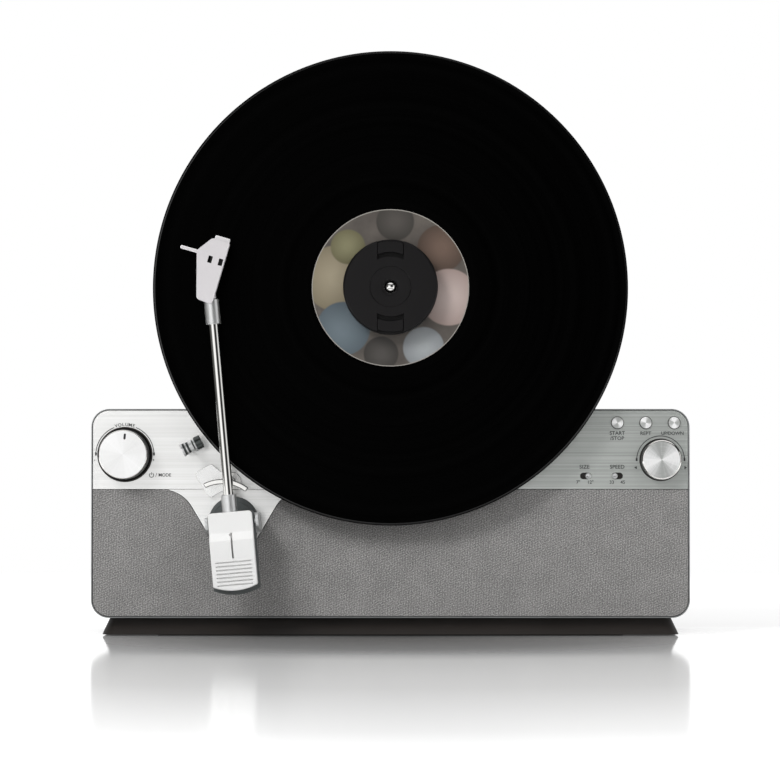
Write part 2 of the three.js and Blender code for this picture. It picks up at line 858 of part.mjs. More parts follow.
// Main board, on the rear panel's bosses, with its capacitors, coil and heat sink.
function mainBoard() {
  const back = mainBoardBack;
  const front = back + boardThickness;
  const left = mainBoardX - mainBoardWidth / 2;
  const low = mainBoardY - mainBoardHeight / 2;
  const place = (acrossShare, upShare) => (
    [left + acrossShare * mainBoardWidth, low + upShare * mainBoardHeight]
  );
  const canRadius = socketRadius + bossRadius / 2;
  const canHeight = 3 * canRadius;
  const canShares = [[0.2, 0.72], [0.36, 0.72], [0.52, 0.72]];
  const chipShares = [[0.3, 0.35], [0.62, 0.4]];
  const chipSize = 2 * socketRadius + bossRadius;
  const sink = place(0.84, 0.5);
  const sinkWidth = mainBoardWidth / 10;
  const sinkHeight = mainBoardHeight / 2;
  return joined(
    block(left, low, back, left + mainBoardWidth, low + mainBoardHeight, front),
    ...canShares.map(([across, up]) => (
      prism(circle(...place(across, up), canRadius), front - boardThickness / 2, front + canHeight)
    )),
    ...chipShares.map(([across, up]) => {
      const [x, y] = place(across, up);
      return prism(
        centredPanel(x, y, chipSize, chipSize), front - boardThickness / 2, front + boardThickness,
      );
    }),
    prism(centredPanel(...sink, sinkWidth, sinkHeight), front - boardThickness / 2, front + canHeight / 2),
  );
}

part('main_board', mainBoard(), 'board');

// Sockets, moulded as one block behind the rear panel: a pair of line outlets, an auxiliary inlet
// and the power inlet, all flush with the panel's outer face.
const socketFloor = rearPanelFront + seatGap;
const socketMiddle = socketFloor + socketBlockDepth / 2;
part('rear_sockets', cut(
  joined(
    prism(
      centredPanel(socketsX, socketsY, socketBlockWidth, socketBlockHeight),
      socketFloor, socketFloor + socketBlockDepth,
    ),
    ...[lineLeftX, lineRightX, auxX].map((x) => (
      prism(circle(x, socketsY, socketRadius), rearFace, socketMiddle)
    )),
    prism(centredPanel(powerX, socketsY, 2 * socketRadius, 2 * socketRadius), rearFace, socketMiddle),
  ),
  ...[lineLeftX, lineRightX, auxX].map((x) => (
    prism(circle(x, socketsY, socketBore), rearFace - overrun, socketMiddle)
  )),
  prism(circle(powerX, socketsY, socketRadius - 2 * ventWidth / 4), rearFace - overrun, socketMiddle),
), 'black');

// Tower: a deep rear cover that stands on the cabinet and a flat front cover.
const towerFoot = cabinetTop + seatGap;
const towerFront = -towerSetback;
const towerSplit = towerFront - towerCoverThickness;
const towerRimFront = towerSplit - seatGap;
const towerBack = towerFront - towerDepth;

function towerOutline(inset) {
  const half = towerFootHalf - inset;
  return tongue(-half, half, towerFoot + inset, 0, recordCentre, towerHeadRadius - inset);
}

const towerFloor = towerBack + towerWall;
const motorY = recordCentre - driveDrop;
const platterMotorBack = drivePulleyBackPlace() - platterMotorLength - runGap;

function drivePulleyBackPlace() {
  return towerSplit - seatGap - pulleyWidth - bossRadius;
}

part('tower_rear_cover', cut(
  joined(
    cut(
      prism(towerOutline(0), towerBack, towerRimFront),
      prism(towerOutline(towerWall), towerFloor, towerRimFront + overrun),
    ),
    prism(circle(0, motorY, platterMotorRadius), towerFloor - overrun, platterMotorBack - seatGap),
  ),
  wireHole(towerFoot - overrun, towerFoot + towerWall + overrun),
), 'shell');

part('tower_front_cover', prism(towerOutline(0), towerSplit, towerFront, [
  holeCircle(0, recordCentre, platterHub + runGap),
]), 'shell');

// Spindle bearing: a flanged sleeve, closed at its back end, on the tower's rear wall.
const drivePulleyBack = drivePulleyBackPlace();
const drivePulleyFront = drivePulleyBack + pulleyWidth;
const bearingBack = towerFloor + seatGap;
const sleeveFront = drivePulleyBack - bossRadius;
const spindleBack = bearingBack + bearingFlangeThickness + seatGap;
const turntable = at(0, recordCentre, 0, player);
part('spindle_bearing', turned([
  [0, bearingBack],
  [bearingFlangeRadius, bearingBack],
  [bearingFlangeRadius, bearingBack + bearingFlangeThickness],
  [bearingSleeveRadius, bearingBack + bearingFlangeThickness],
  [bearingSleeveRadius, sleeveFront],
  [boreRadius, sleeveFront],
  [boreRadius, spindleBack - seatGap],
  [0, spindleBack - seatGap],
], hiddenSides), 'brass', turntable);

// Turntable: spindle, drive pulley, platter, mat, record and label turn together.
const recordBack = recordStandOff;
const matFront = recordBack - seatGap / 2;
const matBack = matFront - matThickness;
const platterFront = matBack - seatGap / 2;
const platterBack = platterFront - platterThickness;
const clampBack = recordFace + seatGap;
const clampFront = clampBack + clampThickness;
const spindleShoulder = bearingSleeveRadius;
part('spindle', turned([
  [0, spindleBack],
  [spindleRadius, spindleBack],
  [spindleRadius, towerFront + overrun],
  [spindleShoulder, towerFront + overrun],
  [spindleShoulder, platterBack - seatGap],
  [spindleRadius, platterBack - seatGap],
  ...arcPoints(0, clampFront - spindleRadius, spindleRadius, 0, turn / 4, 4).map((p) => [p.x, p.y]),
]), 'chrome', turntable);

part('drive_pulley', turned([
  [boreRadius, drivePulleyBack],
  [bearingSleeveRadius, drivePulleyBack],
  [bearingSleeveRadius, drivePulleyFront - pulleyWeb],
  [drivePulleyRadius - pulleyLip, drivePulleyFront - pulleyWeb],
  [drivePulleyRadius - pulleyLip, drivePulleyBack],
  [drivePulleyRadius + pulleyLip, drivePulleyBack],
  [drivePulleyRadius, drivePulleyBack + pulleyLip],
  [drivePulleyRadius, drivePulleyFront - pulleyLip],
  [drivePulleyRadius + pulleyLip, drivePulleyFront],
  [boreRadius, drivePulleyFront],
  [boreRadius, drivePulleyBack],
], hiddenSides), 'nylon', turntable);

part('platter', turned([
  [boreRadius, platterBack],
  [platterHub, platterBack],
  [platterHub, platterFront - platterWeb],
  [platterRadius - platterRim, platterFront - platterWeb],
  [platterRadius - platterRim, platterBack],
  [platterRadius, platterBack],
  [platterRadius, platterFront - knobEdge],
  [platterRadius - knobEdge, platterFront],
  [boreRadius, platterFront],
  [boreRadius, platterBack],
], platterSides), 'satin', turntable);

part('platter_mat', turned([
  [boreRadius, matBack],
  [platterRadius - matInset, matBack],
  [platterRadius - matInset, matFront],
  [boreRadius, matFront],
  [boreRadius, matBack],
], platterSides), 'rubber', turntable);

const labelRecess = labelThickness + seatGap;
const grooveFace = recordFace - beadHeight;
part('record', turned([
  [boreRadius, recordBack],
  [recordRadius - rimBead, recordBack],
  [recordRadius, recordBack + recordThickness / 2 - beadHeight],
  [recordRadius, recordBack + recordThickness / 2 + beadHeight],
  [recordRadius - rimBead / 2, recordFace],
  [recordRadius - rimBead, grooveFace],
  [labelRadius + runGap, grooveFace],
  [labelRadius + runGap, recordFace - labelRecess],
  [boreRadius, recordFace - labelRecess],
  [boreRadius, recordBack],
]), 'vinyl', turntable);

part('record_label', turned([
  [boreRadius, recordFace - labelThickness],
  [labelRadius, recordFace - labelThickness],
  [labelRadius, recordFace],
  [boreRadius, recordFace],
  [boreRadius, recordFace - labelThickness],
]), 'label', turntable);

// Clamp: a puck pushed onto the spindle, with two sprung latches that release it.
const latchFloor = clampFront - latchThickness - runGap;
const latchOuter = clampRadius - clampEdge;
const latchInner = latchOuter - latchLength;
const latchPocketInner = latchInner - latchTravel - runGap;
const latchFront = clampFront - runGap;
const pocketHalf = latchWidth / 2 + runGap;

// A strip from a curved inner edge straight out past the rim, at the top or the bottom of the clamp
function latchStrip(side, half, inner) {
  const middle = side * turn / 4;
  const halfTurn = Math.asin(half / inner);
  return [
    ...arcPoints(0, 0, inner, middle + halfTurn, middle - halfTurn, 4),
    new THREE.Vector2(side * half, side * (clampRadius + overrun)),
    new THREE.Vector2(-side * half, side * (clampRadius + overrun)),
  ];
}

const latchPocket = (side) => prism(
  latchStrip(side, pocketHalf, latchPocketInner), latchFloor, clampFront + overrun,
);

const clampGroup = at(0, 0, 0, turntable);
part('clamp_body', cut(
  turned([
    [boreRadius, clampBack],
    [clampRadius, clampBack],
    [clampRadius, clampFront - clampEdge],
    [clampRadius - clampEdge, clampFront],
    [clampRingRadius + clampRingStep, clampFront],
    [clampRingRadius, clampFront - clampRingStep],
    [boreRadius + clampEdge, clampFront - clampRingStep],
    [boreRadius, clampFront - clampRingStep - clampEdge],
    [boreRadius, clampBack],
  ]),
  latchPocket(1),
  latchPocket(-1),
), 'clamp', clampGroup);

function latch() {
  const slab = prism(latchStrip(1, latchWidth / 2, latchInner), latchFloor + runGap, latchFront);
  return common(slab, rod(latchOuter, latchFloor, clampFront));
}

for (const [name, side] of [['clamp_latch_top', 0], ['clamp_latch_bottom', turn / 2]]) {
  part(name, latch(), 'clamp', at(0, 0, 0, clampGroup, side));
}

// Platter motor behind the belt, its pulley, and the belt round both pulleys.
const motorGroup = at(0, motorY, 0, player);
const motorShaftEnd = drivePulleyFront - pulleyLip;
part('platter_motor', turned([
  [0, platterMotorBack],
  [platterMotorRadius - knobEdge, platterMotorBack],
  [platterMotorRadius, platterMotorBack + knobEdge],
  [platterMotorRadius, platterMotorBack + platterMotorLength - knobEdge],
  [platterMotorRadius - knobEdge, platterMotorBack + platterMotorLength],
  [bossRadius, platterMotorBack + platterMotorLength],
  [motorShaftRadius, platterMotorBack + platterMotorLength],
  [motorShaftRadius, motorShaftEnd],
  [0, motorShaftEnd],
]), 'steel', motorGroup);

const motorBore = motorShaftRadius + runGap;
part('motor_pulley', turned([
  [motorBore, drivePulleyBack],
  [motorPulleyRadius + pulleyLip, drivePulleyBack],
  [motorPulleyRadius, drivePulleyBack + pulleyLip],
  [motorPulleyRadius, drivePulleyFront - pulleyLip],
  [motorPulleyRadius + pulleyLip, drivePulleyFront],
  [motorBore, drivePulleyFront],
  [motorBore, drivePulleyBack],
]), 'brass', motorGroup);

// The belt's outline: two arcs about the pulleys, joined by their outer tangents.
function beltOutline(offset) {
  const large = drivePulleyRadius + offset;
  const small = motorPulleyRadius + offset;
  const slant = Math.asin((large - small) / driveDrop);
  return [
    ...arcPoints(0, recordCentre, large, -slant, turn / 2 + slant),
    ...arcPoints(0, motorY, small, turn / 2 + slant, turn - slant),
  ];
}

const beltMiddle = (drivePulleyBack + drivePulleyFront) / 2;
part('drive_belt', prism(
  beltOutline(runGap + beltThickness),
  beltMiddle - beltWidth / 2, beltMiddle + beltWidth / 2,
  [beltOutline(runGap)],
), 'rubber');

// Knobs. Each turns on an encoder behind the baffle, whose threaded bush comes through the fascia.
const encoderFront = baffleBack - seatGap;
const encoderBack = encoderFront - encoderDepth;
const shaftBack = encoderBack + volumeTravel + 2 * runGap + pulleyLip;
const shaftBore = knobShaftRadius + runGap;

function encoder() {
  return cut(
    joined(
      prism(centredPanel(0, 0, encoderSize, encoderSize), encoderBack, encoderFront),
      rod(bushRadius, encoderFront - overrun, -runGap),
    ),
    prism(holeCircle(0, 0, shaftBore), encoderBack + pulleyLip, overrun),
  );
}

// A knob: a base that steps in to the side, a chamfered face and a blind bore for its shaft.
function knob(baseRadius, faceRadius, back, face) {
  const boreEnd = face - 2 * knobShaftRadius + seatGap;
  return turned([
    [0, boreEnd],
    [shaftBore, boreEnd],
    [shaftBore, back],
    [baseRadius, back],
    [baseRadius, back + knobEdge],
    [faceRadius + knobEdge, back + 3 * knobEdge],
    [faceRadius + knobEdge, face - 2 * knobEdge],
    [faceRadius, face - knobEdge / 2],
    [faceRadius - knobEdge, face],
    [0, face],
  ]);
}

const knobShaftEnd = (face) => face - 2 * knobShaftRadius;
const volumeGroup = at(volumeX, volumeY, 0, player);
const jogGroup = at(jogX, jogY, 0, player);
part('volume_encoder', encoder(), 'steel', volumeGroup);
part('jog_encoder', encoder(), 'steel', jogGroup);
part('volume_shaft', rod(knobShaftRadius, shaftBack, knobShaftEnd(volumeFace)), 'steel', volumeGroup);
part('jog_shaft', rod(knobShaftRadius, shaftBack, knobShaftEnd(jogFace)), 'steel', jogGroup);

const pointerMiddle = volumeFaceRadius - pointerLength;
const pointerSlot = prism(
  centredPanel(0, pointerMiddle, pointerWidth, pointerLength, pointerWidth / 2),
  volumeFace - pointerDepth, volumeFace + overrun,
).rotateZ(pointerTilt);
part('volume_knob', cut(
  knob(volumeBaseRadius, volumeFaceRadius, volumeTravel + runGap, volumeFace), pointerSlot,
), 'satin', volumeGroup);
part('jog_knob', knob(jogBaseRadius, jogFaceRadius, 2 * runGap, jogFace), 'satin', jogGroup);

// Buttons: a cap in the fascia, a flange that keeps it in and a stem that reaches its switch.
const switchTop = controlBoardFront + boardThickness;
const stemEnd = switchTop + buttonTravel + runGap;
const flangeFront = -fasciaThickness - runGap;
const flangeBack = flangeFront - buttonFlange;

buttonNames.forEach((name, i) => {
  part(name, turned([
    [0, stemEnd],
    [stemRadius, stemEnd],
    [stemRadius, flangeBack],
    [buttonFlangeRadius, flangeBack],
    [buttonFlangeRadius, flangeFront],
    [buttonRadius, flangeFront],
    [buttonRadius, buttonProud - buttonEdge],
    [buttonRadius - buttonEdge, buttonProud],
    [0, buttonProud],
  ]), 'satin', at(buttonXs[i], buttonY, 0, player));
});

// Slide switches: a round nub in the fascia's slot on a shutter that always covers the slot.
// The size switch stands at its right stop and the speed switch at its left one.
for (const [name, x, side] of [['size_slider', sizeX, 1], ['speed_slider', speedX, -1]]) {
  const nubX = side * switchTravel / 2;
  part(name, joined(
    prism(centredPanel(nubX, 0, shutterLength, shutterWidth), flangeFront - shutterThickness, flangeFront),
    prism(circle(nubX, 0, nubRadius), flangeFront - overrun / 2, nubProud),
    prism(centredPanel(nubX, 0, 2 * stemRadius, stemRadius), stemEnd, flangeFront - overrun / 2),
  ), 'satin', at(x, switchY, 0, player));
}

// Control board on the baffle's standoffs, with a switch behind each button and slider.
function controlBoard() {
  const back = controlBoardFront - boardThickness;
  const switchSize = 3 * stemRadius;
  const windowSize = encoderSize + 4 * runGap;
  return cut(
    joined(
      block(controlBoardLeft, controlBoardBottom, back, controlBoardRight, controlBoardTop, controlBoardFront),
      ...buttonXs.map((x) => (
        prism(centredPanel(x, buttonY, switchSize, switchSize), back, switchTop)
      )),
      ...[sizeX, speedX].map((x) => (
        prism(centredPanel(x, switchY, shutterLength, switchSize), back, switchTop)
      )),
    ),
    prism(centredPanel(jogX, jogY, windowSize, windowSize), back - overrun, switchTop + overrun),
  );
}

part('control_board', controlBoard(), 'board');

// Arm turret: a dark flange on the plinth, with a neck through it that carries the yoke's shaft.
const pivotGroup = at(pivotX, pivotY, 0, player);
const yokeBore = yokeShaftRadius + runGap;
part('arm_bearing_housing', turned([
  [yokeBore, -turretTail],
  [turretTailRadius, -turretTail],
  [turretTailRadius, -turretBack],
  [turretNeck, -turretBack],
  [turretNeck, seatGap],
  [turretRadius, seatGap],
  [turretRadius, turretProud - knobEdge],
  [turretRadius - knobEdge, turretProud],
  [yokeBore, turretProud],
  [yokeBore, -turretTail],
]), 'turret', pivotGroup);

// Yoke: a base bar with two ears for the axle, on a shaft that reaches the gear behind.
const swingGroup = at(0, 0, 0, pivotGroup, armTilt);
const earInner = blockHalfWidth + earGap;
const earOuter = earInner + earThickness;
const yokeBaseFront = yokeBase + yokeBaseThickness;
const gearFront = -turretTail - runGap;
const gearBack = gearFront - gearThickness;
const shaftEnd = gearBack - overrun;

function ear(side) {
  const outline = tongue(
    earShift - earHalfFoot, earShift + earHalfFoot, yokeBase, 0, armAxisHeight, earHeadRadius,
  );
  const hole = holeCircle(0, armAxisHeight, axleRadius + runGap);
  const [from, to] = side > 0 ? [earInner, earOuter] : [-earOuter, -earInner];
  return alongX(prism(outline, yokeSideShift + from, yokeSideShift + to, [hole]));
}

part('arm_yoke', joined(
  rod(yokeShaftRadius, shaftEnd, yokeBase + overrun),
  prism(panel(
    yokeSideShift - earOuter, earShift - earHalfFoot,
    yokeSideShift + earOuter, yokeShaftRadius + collarEdge, collarEdge,
  ), yokeBase, yokeBaseFront),
  ear(1),
  ear(-1),
), 'silver', swingGroup);

// Gears: involute teeth, drawn about the gear's own axis, the first tooth pointing along x.
function toothOutline(teeth) {
  const pitchRadius = gearModule * teeth / 2;
  const baseRadius = pitchRadius * Math.cos(pressureAngle);
  const tipCircle = pitchRadius + addendumShare * gearModule;
  const rootCircle = pitchRadius - dedendumShare * gearModule;
  const roll = (radius) => {
    const tangent = Math.sqrt(Math.max((radius / baseRadius) ** 2 - 1, 0));
    return tangent - Math.atan(tangent);
  };
  const halfAtPitch = turn / 4 / teeth - gearBacklash / 4 / pitchRadius;
  const halfAt = (radius) => halfAtPitch + roll(pitchRadius) - roll(Math.max(radius, baseRadius));
  const flankStart = Math.max(baseRadius, rootCircle);
  const flank = flankShares.map((share) => flankStart + share * (tipCircle - flankStart));
  const side = [rootCircle, ...flank].map((radius) => [radius, halfAt(radius)]);
  return [
    ...side.map(([radius, half]) => [radius, -half]),
    ...side.reverse().map(([radius, half]) => [radius, half]),
  ];
}

function gearOutline(teeth, firstTooth, lastTooth, startAngle) {
  const pitch = turn / teeth;
  const points = [];
  for (let tooth = firstTooth; tooth <= lastTooth; tooth += 1) {
    for (const [radius, angle] of toothOutline(teeth)) {
      const direction = startAngle + tooth * pitch + angle;
      points.push(new THREE.Vector2(radius * Math.cos(direction), radius * Math.sin(direction)));
    }
  }
  return tidyOutline(points);
}

const sectorHalf = (sectorTeeth - 1) / 2;
const sectorEdge = (sectorHalf + 1) * turn / gearTeeth;
const sectorOutline = [
  ...gearOutline(gearTeeth, -sectorHalf, sectorHalf, 0),
  ...arcPoints(0, 0, gearHubRadius, sectorEdge, turn - sectorEdge),
];
const gearGroup = at(0, 0, 0, pivotGroup);
part('arm_gear', prism(sectorOutline, gearBack, gearFront, [
  holeCircle(0, 0, yokeShaftRadius + runGap),
]), 'nylon', gearGroup);

// The pinion stands half a tooth round, so that a gap faces the sector's middle tooth.
const pinionStart = turn / 2 + turn / pinionTeeth / 2;
const pinionGroup = at(pinionX, pivotY, 0, player);
const armMotorFront = gearFront + armMotorLength + seatGap;
part('arm_pinion', prism(
  gearOutline(pinionTeeth, 0, pinionTeeth - 1, pinionStart), gearBack, gearFront,
  [holeCircle(0, 0, armMotorShaft + runGap)],
), 'brass', pinionGroup);

// Arm motor: a flat can on three posts' worth of bracket that stands on the baffle's back.
const motorMount = baffleBack - seatGap;
part('arm_motor', joined(
  rod(armMotorRadius, gearFront + seatGap, armMotorFront),
  rod(armMotorShaft, gearBack - seatGap, gearFront + 2 * seatGap),
  rod(armMotorRadius - collarEdge, armMotorFront - overrun, motorMount),
), 'steel', pinionGroup);

// Axle and the arm's own pieces
const armGroup = at(0, 0, armAxisHeight, swingGroup);
part('pivot_axle', alongX(
  rod(axleRadius, yokeSideShift - earOuter, yokeSideShift + earOuter),
), 'chrome', armGroup);

// Counterweight block: a rounded plate that steps up over a slope, with a curved tail, an adjusting
// slit and grip grooves. Its side profile is drawn first, then its front outline trims it.
function counterweightBlock() {
  const sideProfile = [
    [-blockTail - overrun, blockBack],
    [blockHead, blockBack],
    [blockHead, blockThinFront],
    [-slopeStart, blockThinFront],
    [-slopeEnd, armReach - armAxisHeight],
    [-blockTail - overrun, armReach - armAxisHeight],
  ].map(([along, front]) => new THREE.Vector2(along, front));
  const body = alongX(prism(sideProfile, -blockHalfWidth - overrun, blockHalfWidth + overrun));
  const tailSpan = blockHalfWidth;
  const tailRadius = (tailSpan ** 2 + blockSagitta ** 2) / (2 * blockSagitta);
  const tailHalf = Math.asin(tailSpan / tailRadius);
  const front = [
    ...arcPoints(
      0, tailRadius - blockTail, tailRadius, -turn / 4 - tailHalf, -turn / 4 + tailHalf,
    ),
    ...arcPoints(
      blockHalfWidth - blockCorner, blockHead - blockCorner, blockCorner, 0, turn / 4,
    ),
    ...arcPoints(
      blockCorner - blockHalfWidth, blockHead - blockCorner, blockCorner, turn / 4, turn / 2,
    ),
  ];
  const blank = common(body, prism(front, blockBack - overrun, armReach));
  const blockFront = armReach - armAxisHeight;
  const gripPitch = (gripEnd - gripStart) / (gripCount - 1);
  const grips = Array.from({ length: gripCount }, (_, i) => {
    const y = -gripStart - i * gripPitch;
    return block(
      -gripLength / 2, y - gripWidth / 2, blockFront - gripDepth,
      gripLength / 2, y + gripWidth / 2, blockFront + overrun,
    );
  });
  return cut(
    blank,
    block(-slitWidth / 2, -slitEnd, blockThinFront - slitDepth, slitWidth / 2, -slitStart, armReach),
    alongX(prism(holeCircle(0, 0, axleRadius + runGap), -earOuter, earOuter)),
    alongY(prism(holeCircle(0, 0, tailCollarRadius + runGap), tailCollarStart - seatGap, armReach)),
    ...grips,
  );
}

part('counterweight_housing', counterweightBlock(), 'silver', armGroup);

part('arm_tube', alongY(turned([
  [tubeBore, tubeStart],
  [tubeRadius, tubeStart],
  [tubeRadius, tubeEnd],
  [tubeBore, tubeEnd],
  [tubeBore, tubeStart],
])), 'chrome', armGroup);

const tubeSocket = tubeRadius + runGap;
part('tail_collar', alongY(turned([
  [0, tailCollarStart],
  [tailCollarRadius, tailCollarStart],
  [tailCollarRadius, tailCollarEnd - collarEdge],
  [tailCollarRadius - collarEdge, tailCollarEnd],
  [tubeSocket, tailCollarEnd],
  [tubeSocket, tubeStart - seatGap],
  [0, tubeStart - seatGap],
])), 'satin', armGroup);

const tangSocket = tangRadius + runGap;
const tangStart = frontCollarEnd - tangLength;
part('front_collar', alongY(turned([
  [0, tubeEnd + seatGap],
  [tubeSocket, tubeEnd + seatGap],
  [tubeSocket, frontCollarStart],
  [frontCollarRadius - collarEdge, frontCollarStart],
  [frontCollarRadius, frontCollarStart + collarEdge],
  [frontCollarRadius, frontCollarEnd - collarEdge],
  [frontCollarRadius - collarEdge, frontCollarEnd],
  [tangSocket, frontCollarEnd],
  [tangSocket, tangStart - seatGap],
  [0, tangStart - seatGap],
])), 'satin', armGroup);

// Headshell: a shallow pressed shell with a lip at its tip, a finger lift and a tang at its heel.
function headOutline(inset) {
  const corner = headCorner;
  const heelTilt = 3 * headHeel;
  return [
    [-inset, inset],
    [-inset, headLength - corner - inset],
    [-corner - inset, headLength - inset],
    [-headTipWidth - inset / 2, headLength - inset],
    [-headWidth + inset, headShoulderHigh - inset / 2],
    [-headWidth + inset, headShoulderLow],
    [-headNeckWidth + inset, inset - headHeel],
    [-heelTilt, inset - headHeel],
  ].reverse().map(([x, y]) => new THREE.Vector2(x, y));
}

const headGroup = at(headX, headY, 0, armGroup, -headTurn);
const headBack = headFront - headDepth;
const heelBlock = frontCollarEnd + runGap;

// The tang and its heel block follow the tube, so they are turned back against the headshell.
function headTang() {
  const heelHalf = tangRadius + collarEdge;
  return joined(
    alongY(rod(tangRadius, tangStart, heelBlock + overrun)),
    block(-heelHalf, heelBlock, -heelHalf, heelHalf, heelBlock + headCorner * 4, headFront - headWall / 2),
  ).translate(-headX, -headY, 0).rotateZ(headTurn);
}

function headshell() {
  const shell = cut(
    chamferedPrism(headOutline(0), headBack, headFront, collarEdge),
    prism(headOutline(headWall), headBack - overrun, headFront - headWall),
    collarClearance(),
  );
  const windows = [windowInnerX, windowOuterX].map((x) => prism(
    centredPanel(x, windowHeight, windowWidth, windowLength), headBack, headFront + overrun,
  ));
  return cut(
    joined(
      shell,
      headTang(),
      block(-headTabWidth, headLength - headCorner, headFront - headTabThickness, 0,
        headLength + headTabLength, headFront),
      block(-fingerReach, fingerHeight - fingerWidth / 2, headFront - fingerThickness - collarEdge,
        headWall - headWidth, fingerHeight + fingerWidth / 2, headFront - collarEdge),
    ),
    ...windows,
  );
}

// The shell's heel passes in front of the collar and clears it.
function collarClearance() {
  return alongY(rod(frontCollarRadius + runGap, frontCollarStart, heelBlock))
    .translate(-headX, -headY, 0).rotateZ(headTurn);
}

part('headshell', headshell(), 'shellGrey', headGroup);

// Cartridge inside the shell, and the stylus assembly that clips on behind it.
const cartridgeFront = headFront - headWall - seatGap;
const cartridgeSide = [
  [cartridgeStart, cartridgeBack],
  [cartridgeEnd - cartridgeSlope, cartridgeBack],
  [cartridgeEnd - cartridgeSlope / 2, cartridgeBack + cartridgeSlope],
  [cartridgeEnd - headWall, cartridgeFront],
  [cartridgeStart, cartridgeFront],
].map(([along, front]) => new THREE.Vector2(along, front));
part('cartridge', alongX(
  prism(cartridgeSide, stylusX - cartridgeWidth / 2, stylusX + cartridgeWidth / 2),
), 'black', headGroup);

const holderFront = cartridgeBack - seatGap;
const holderBack = holderFront - stylusHolderThickness;
const tipMiddle = stylusY - cantileverWidth / 2;
part('stylus', joined(
  block(stylusX - stylusHolderWidth / 2, stylusY - stylusHolderLength, holderBack,
    stylusX + stylusHolderWidth / 2, stylusY - cantileverLength, holderFront),
  block(stylusX - cantileverWidth / 2, stylusY - 2 * cantileverLength, holderBack + tipRadius / 2,
    stylusX + cantileverWidth / 2, stylusY, holderFront - tipRadius),
  turned([
    [0, stylusTip],
    [tipRadius, stylusTip + 2 * tipRadius],
    [tipRadius, holderBack + tipRadius],
    [0, holderBack + tipRadius],
  ]).translate(stylusX, tipMiddle, 0),
), 'rubber', headGroup);

// Arm rest: a turned spool across the parked tube, on a post. The tube lies in its waist.
const parkAngle = armTilt + parkTurn;
const restGroup = at(
  pivotX - restDistance * Math.sin(parkAngle), pivotY + restDistance * Math.cos(parkAngle), 0,
  player, parkAngle,
);
const restAxis = restFront - restRadius;

function restSpool() {
  const half = restLength / 2;
  const neck = restWaistHalf + collarEdge;
  const ringPlace = (neck + half) / 2;
  const side = [
    [restRadius, neck],
    [restRadius, ringPlace - restRing / 2],
    [restRadius - restRingDepth, ringPlace],
    [restRadius, ringPlace + restRing / 2],
    [restRadius, half - collarEdge],
    [restRadius - collarEdge, half],
    [0, half],
  ];
  const mirrored = [...side].reverse().map(([radius, along]) => [radius, -along]);
  return alongX(turned([
    ...mirrored,
    [restWaistRadius, -restWaistHalf],
    [restWaistRadius, restWaistHalf],
    ...side,
  ])).translate(0, 0, restAxis);
}

part('arm_rest', joined(
  restSpool(),
  rod(restPostRadius, seatGap, restAxis),
), 'turret', restGroup);

// Lifter: a guide plate on the fascia, the curved bar that raises the arm, and its actuator.
const guideFront = seatGap + guideThickness;
const guideOutline = [
  ...guideLeftCorners.map(([x, y]) => new THREE.Vector2(pivotX + x, pivotY + y)),
  ...arcPoints(pivotX, pivotY, guideInner, guideTo, guideFrom),
  ...guideRightCorners.map(([x, y]) => new THREE.Vector2(pivotX + x, pivotY + y)),
];
const postClearance = (back, front) => prism(
  holeCircle(lifterPostX, lifterPostY, lifterPostRadius + runGap), back, front,
);
part('lifter_guide', cut(
  joined(
    prism(guideOutline, seatGap, guideFront),
    prism(circle(lifterPostX, lifterPostY, guideBushRadius), seatGap, seatGap + guideBushProud),
  ),
  postClearance(seatGap - overrun, guideBushProud + overrun),
), 'silver');

const tubeBack = armAxisHeight - tubeRadius;
const lifterFront = tubeBack - runGap;
const lifterBack = lifterFront - lifterThickness;
const lifterOutline = [
  ...arcPoints(
    pivotX + lifterCentreX, pivotY + lifterCentreY, lifterRadius + lifterWidth / 2,
    turn / 4 - lifterHalfSweep, turn / 4 + lifterHalfSweep,
  ),
  ...arcPoints(
    pivotX + lifterCentreX, pivotY + lifterCentreY, lifterRadius - lifterWidth / 2,
    turn / 4 + lifterHalfSweep, turn / 4 - lifterHalfSweep,
  ),
];
part('lifter_bar', joined(
  prism(lifterOutline, lifterBack, lifterFront),
  prism(circle(lifterPostX, lifterPostY, lifterPostRadius), -lifterPostEnd, lifterBack + overrun),
), 'chrome');

const actuatorFront = baffleBack - seatGap;
part('lifter_actuator', cut(
  prism(centredPanel(lifterPostX, lifterPostY, actuatorWidth, actuatorHeight, bossRadius),
    actuatorFront - actuatorDepth, actuatorFront),
  postClearance(-lifterPostEnd - 2 * overrun, overrun),
), 'black');

// Turned upright, with the middle of the whole depth at the origin.
player.rotation.x = turn / 4;
player.position.y = (armReach - cabinetDepth) / 2;

const upright = new THREE.Group();
upright.add(player);

export default upright;
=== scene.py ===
# %% [markdown]
# # A vertical record player
#
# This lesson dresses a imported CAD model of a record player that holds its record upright. The CAD
# model is the skeleton: it says where every piece is and which pieces move together. Here each
# piece that shows gets a finer shape and the finish of the real material, and then the whole is
# set on a pale floor in soft light.
#
# Seen from the front, x runs to the right, y up from the table and z out of the control panel
# towards us, in millimetres. Each piece is drawn lying on its back in that frame, and is then stood
# up and scaled to metres in one step, so its own mesh holds its place.

# %% Load the frame
import math

import bmesh
import bpy
from mathutils import Matrix, Vector


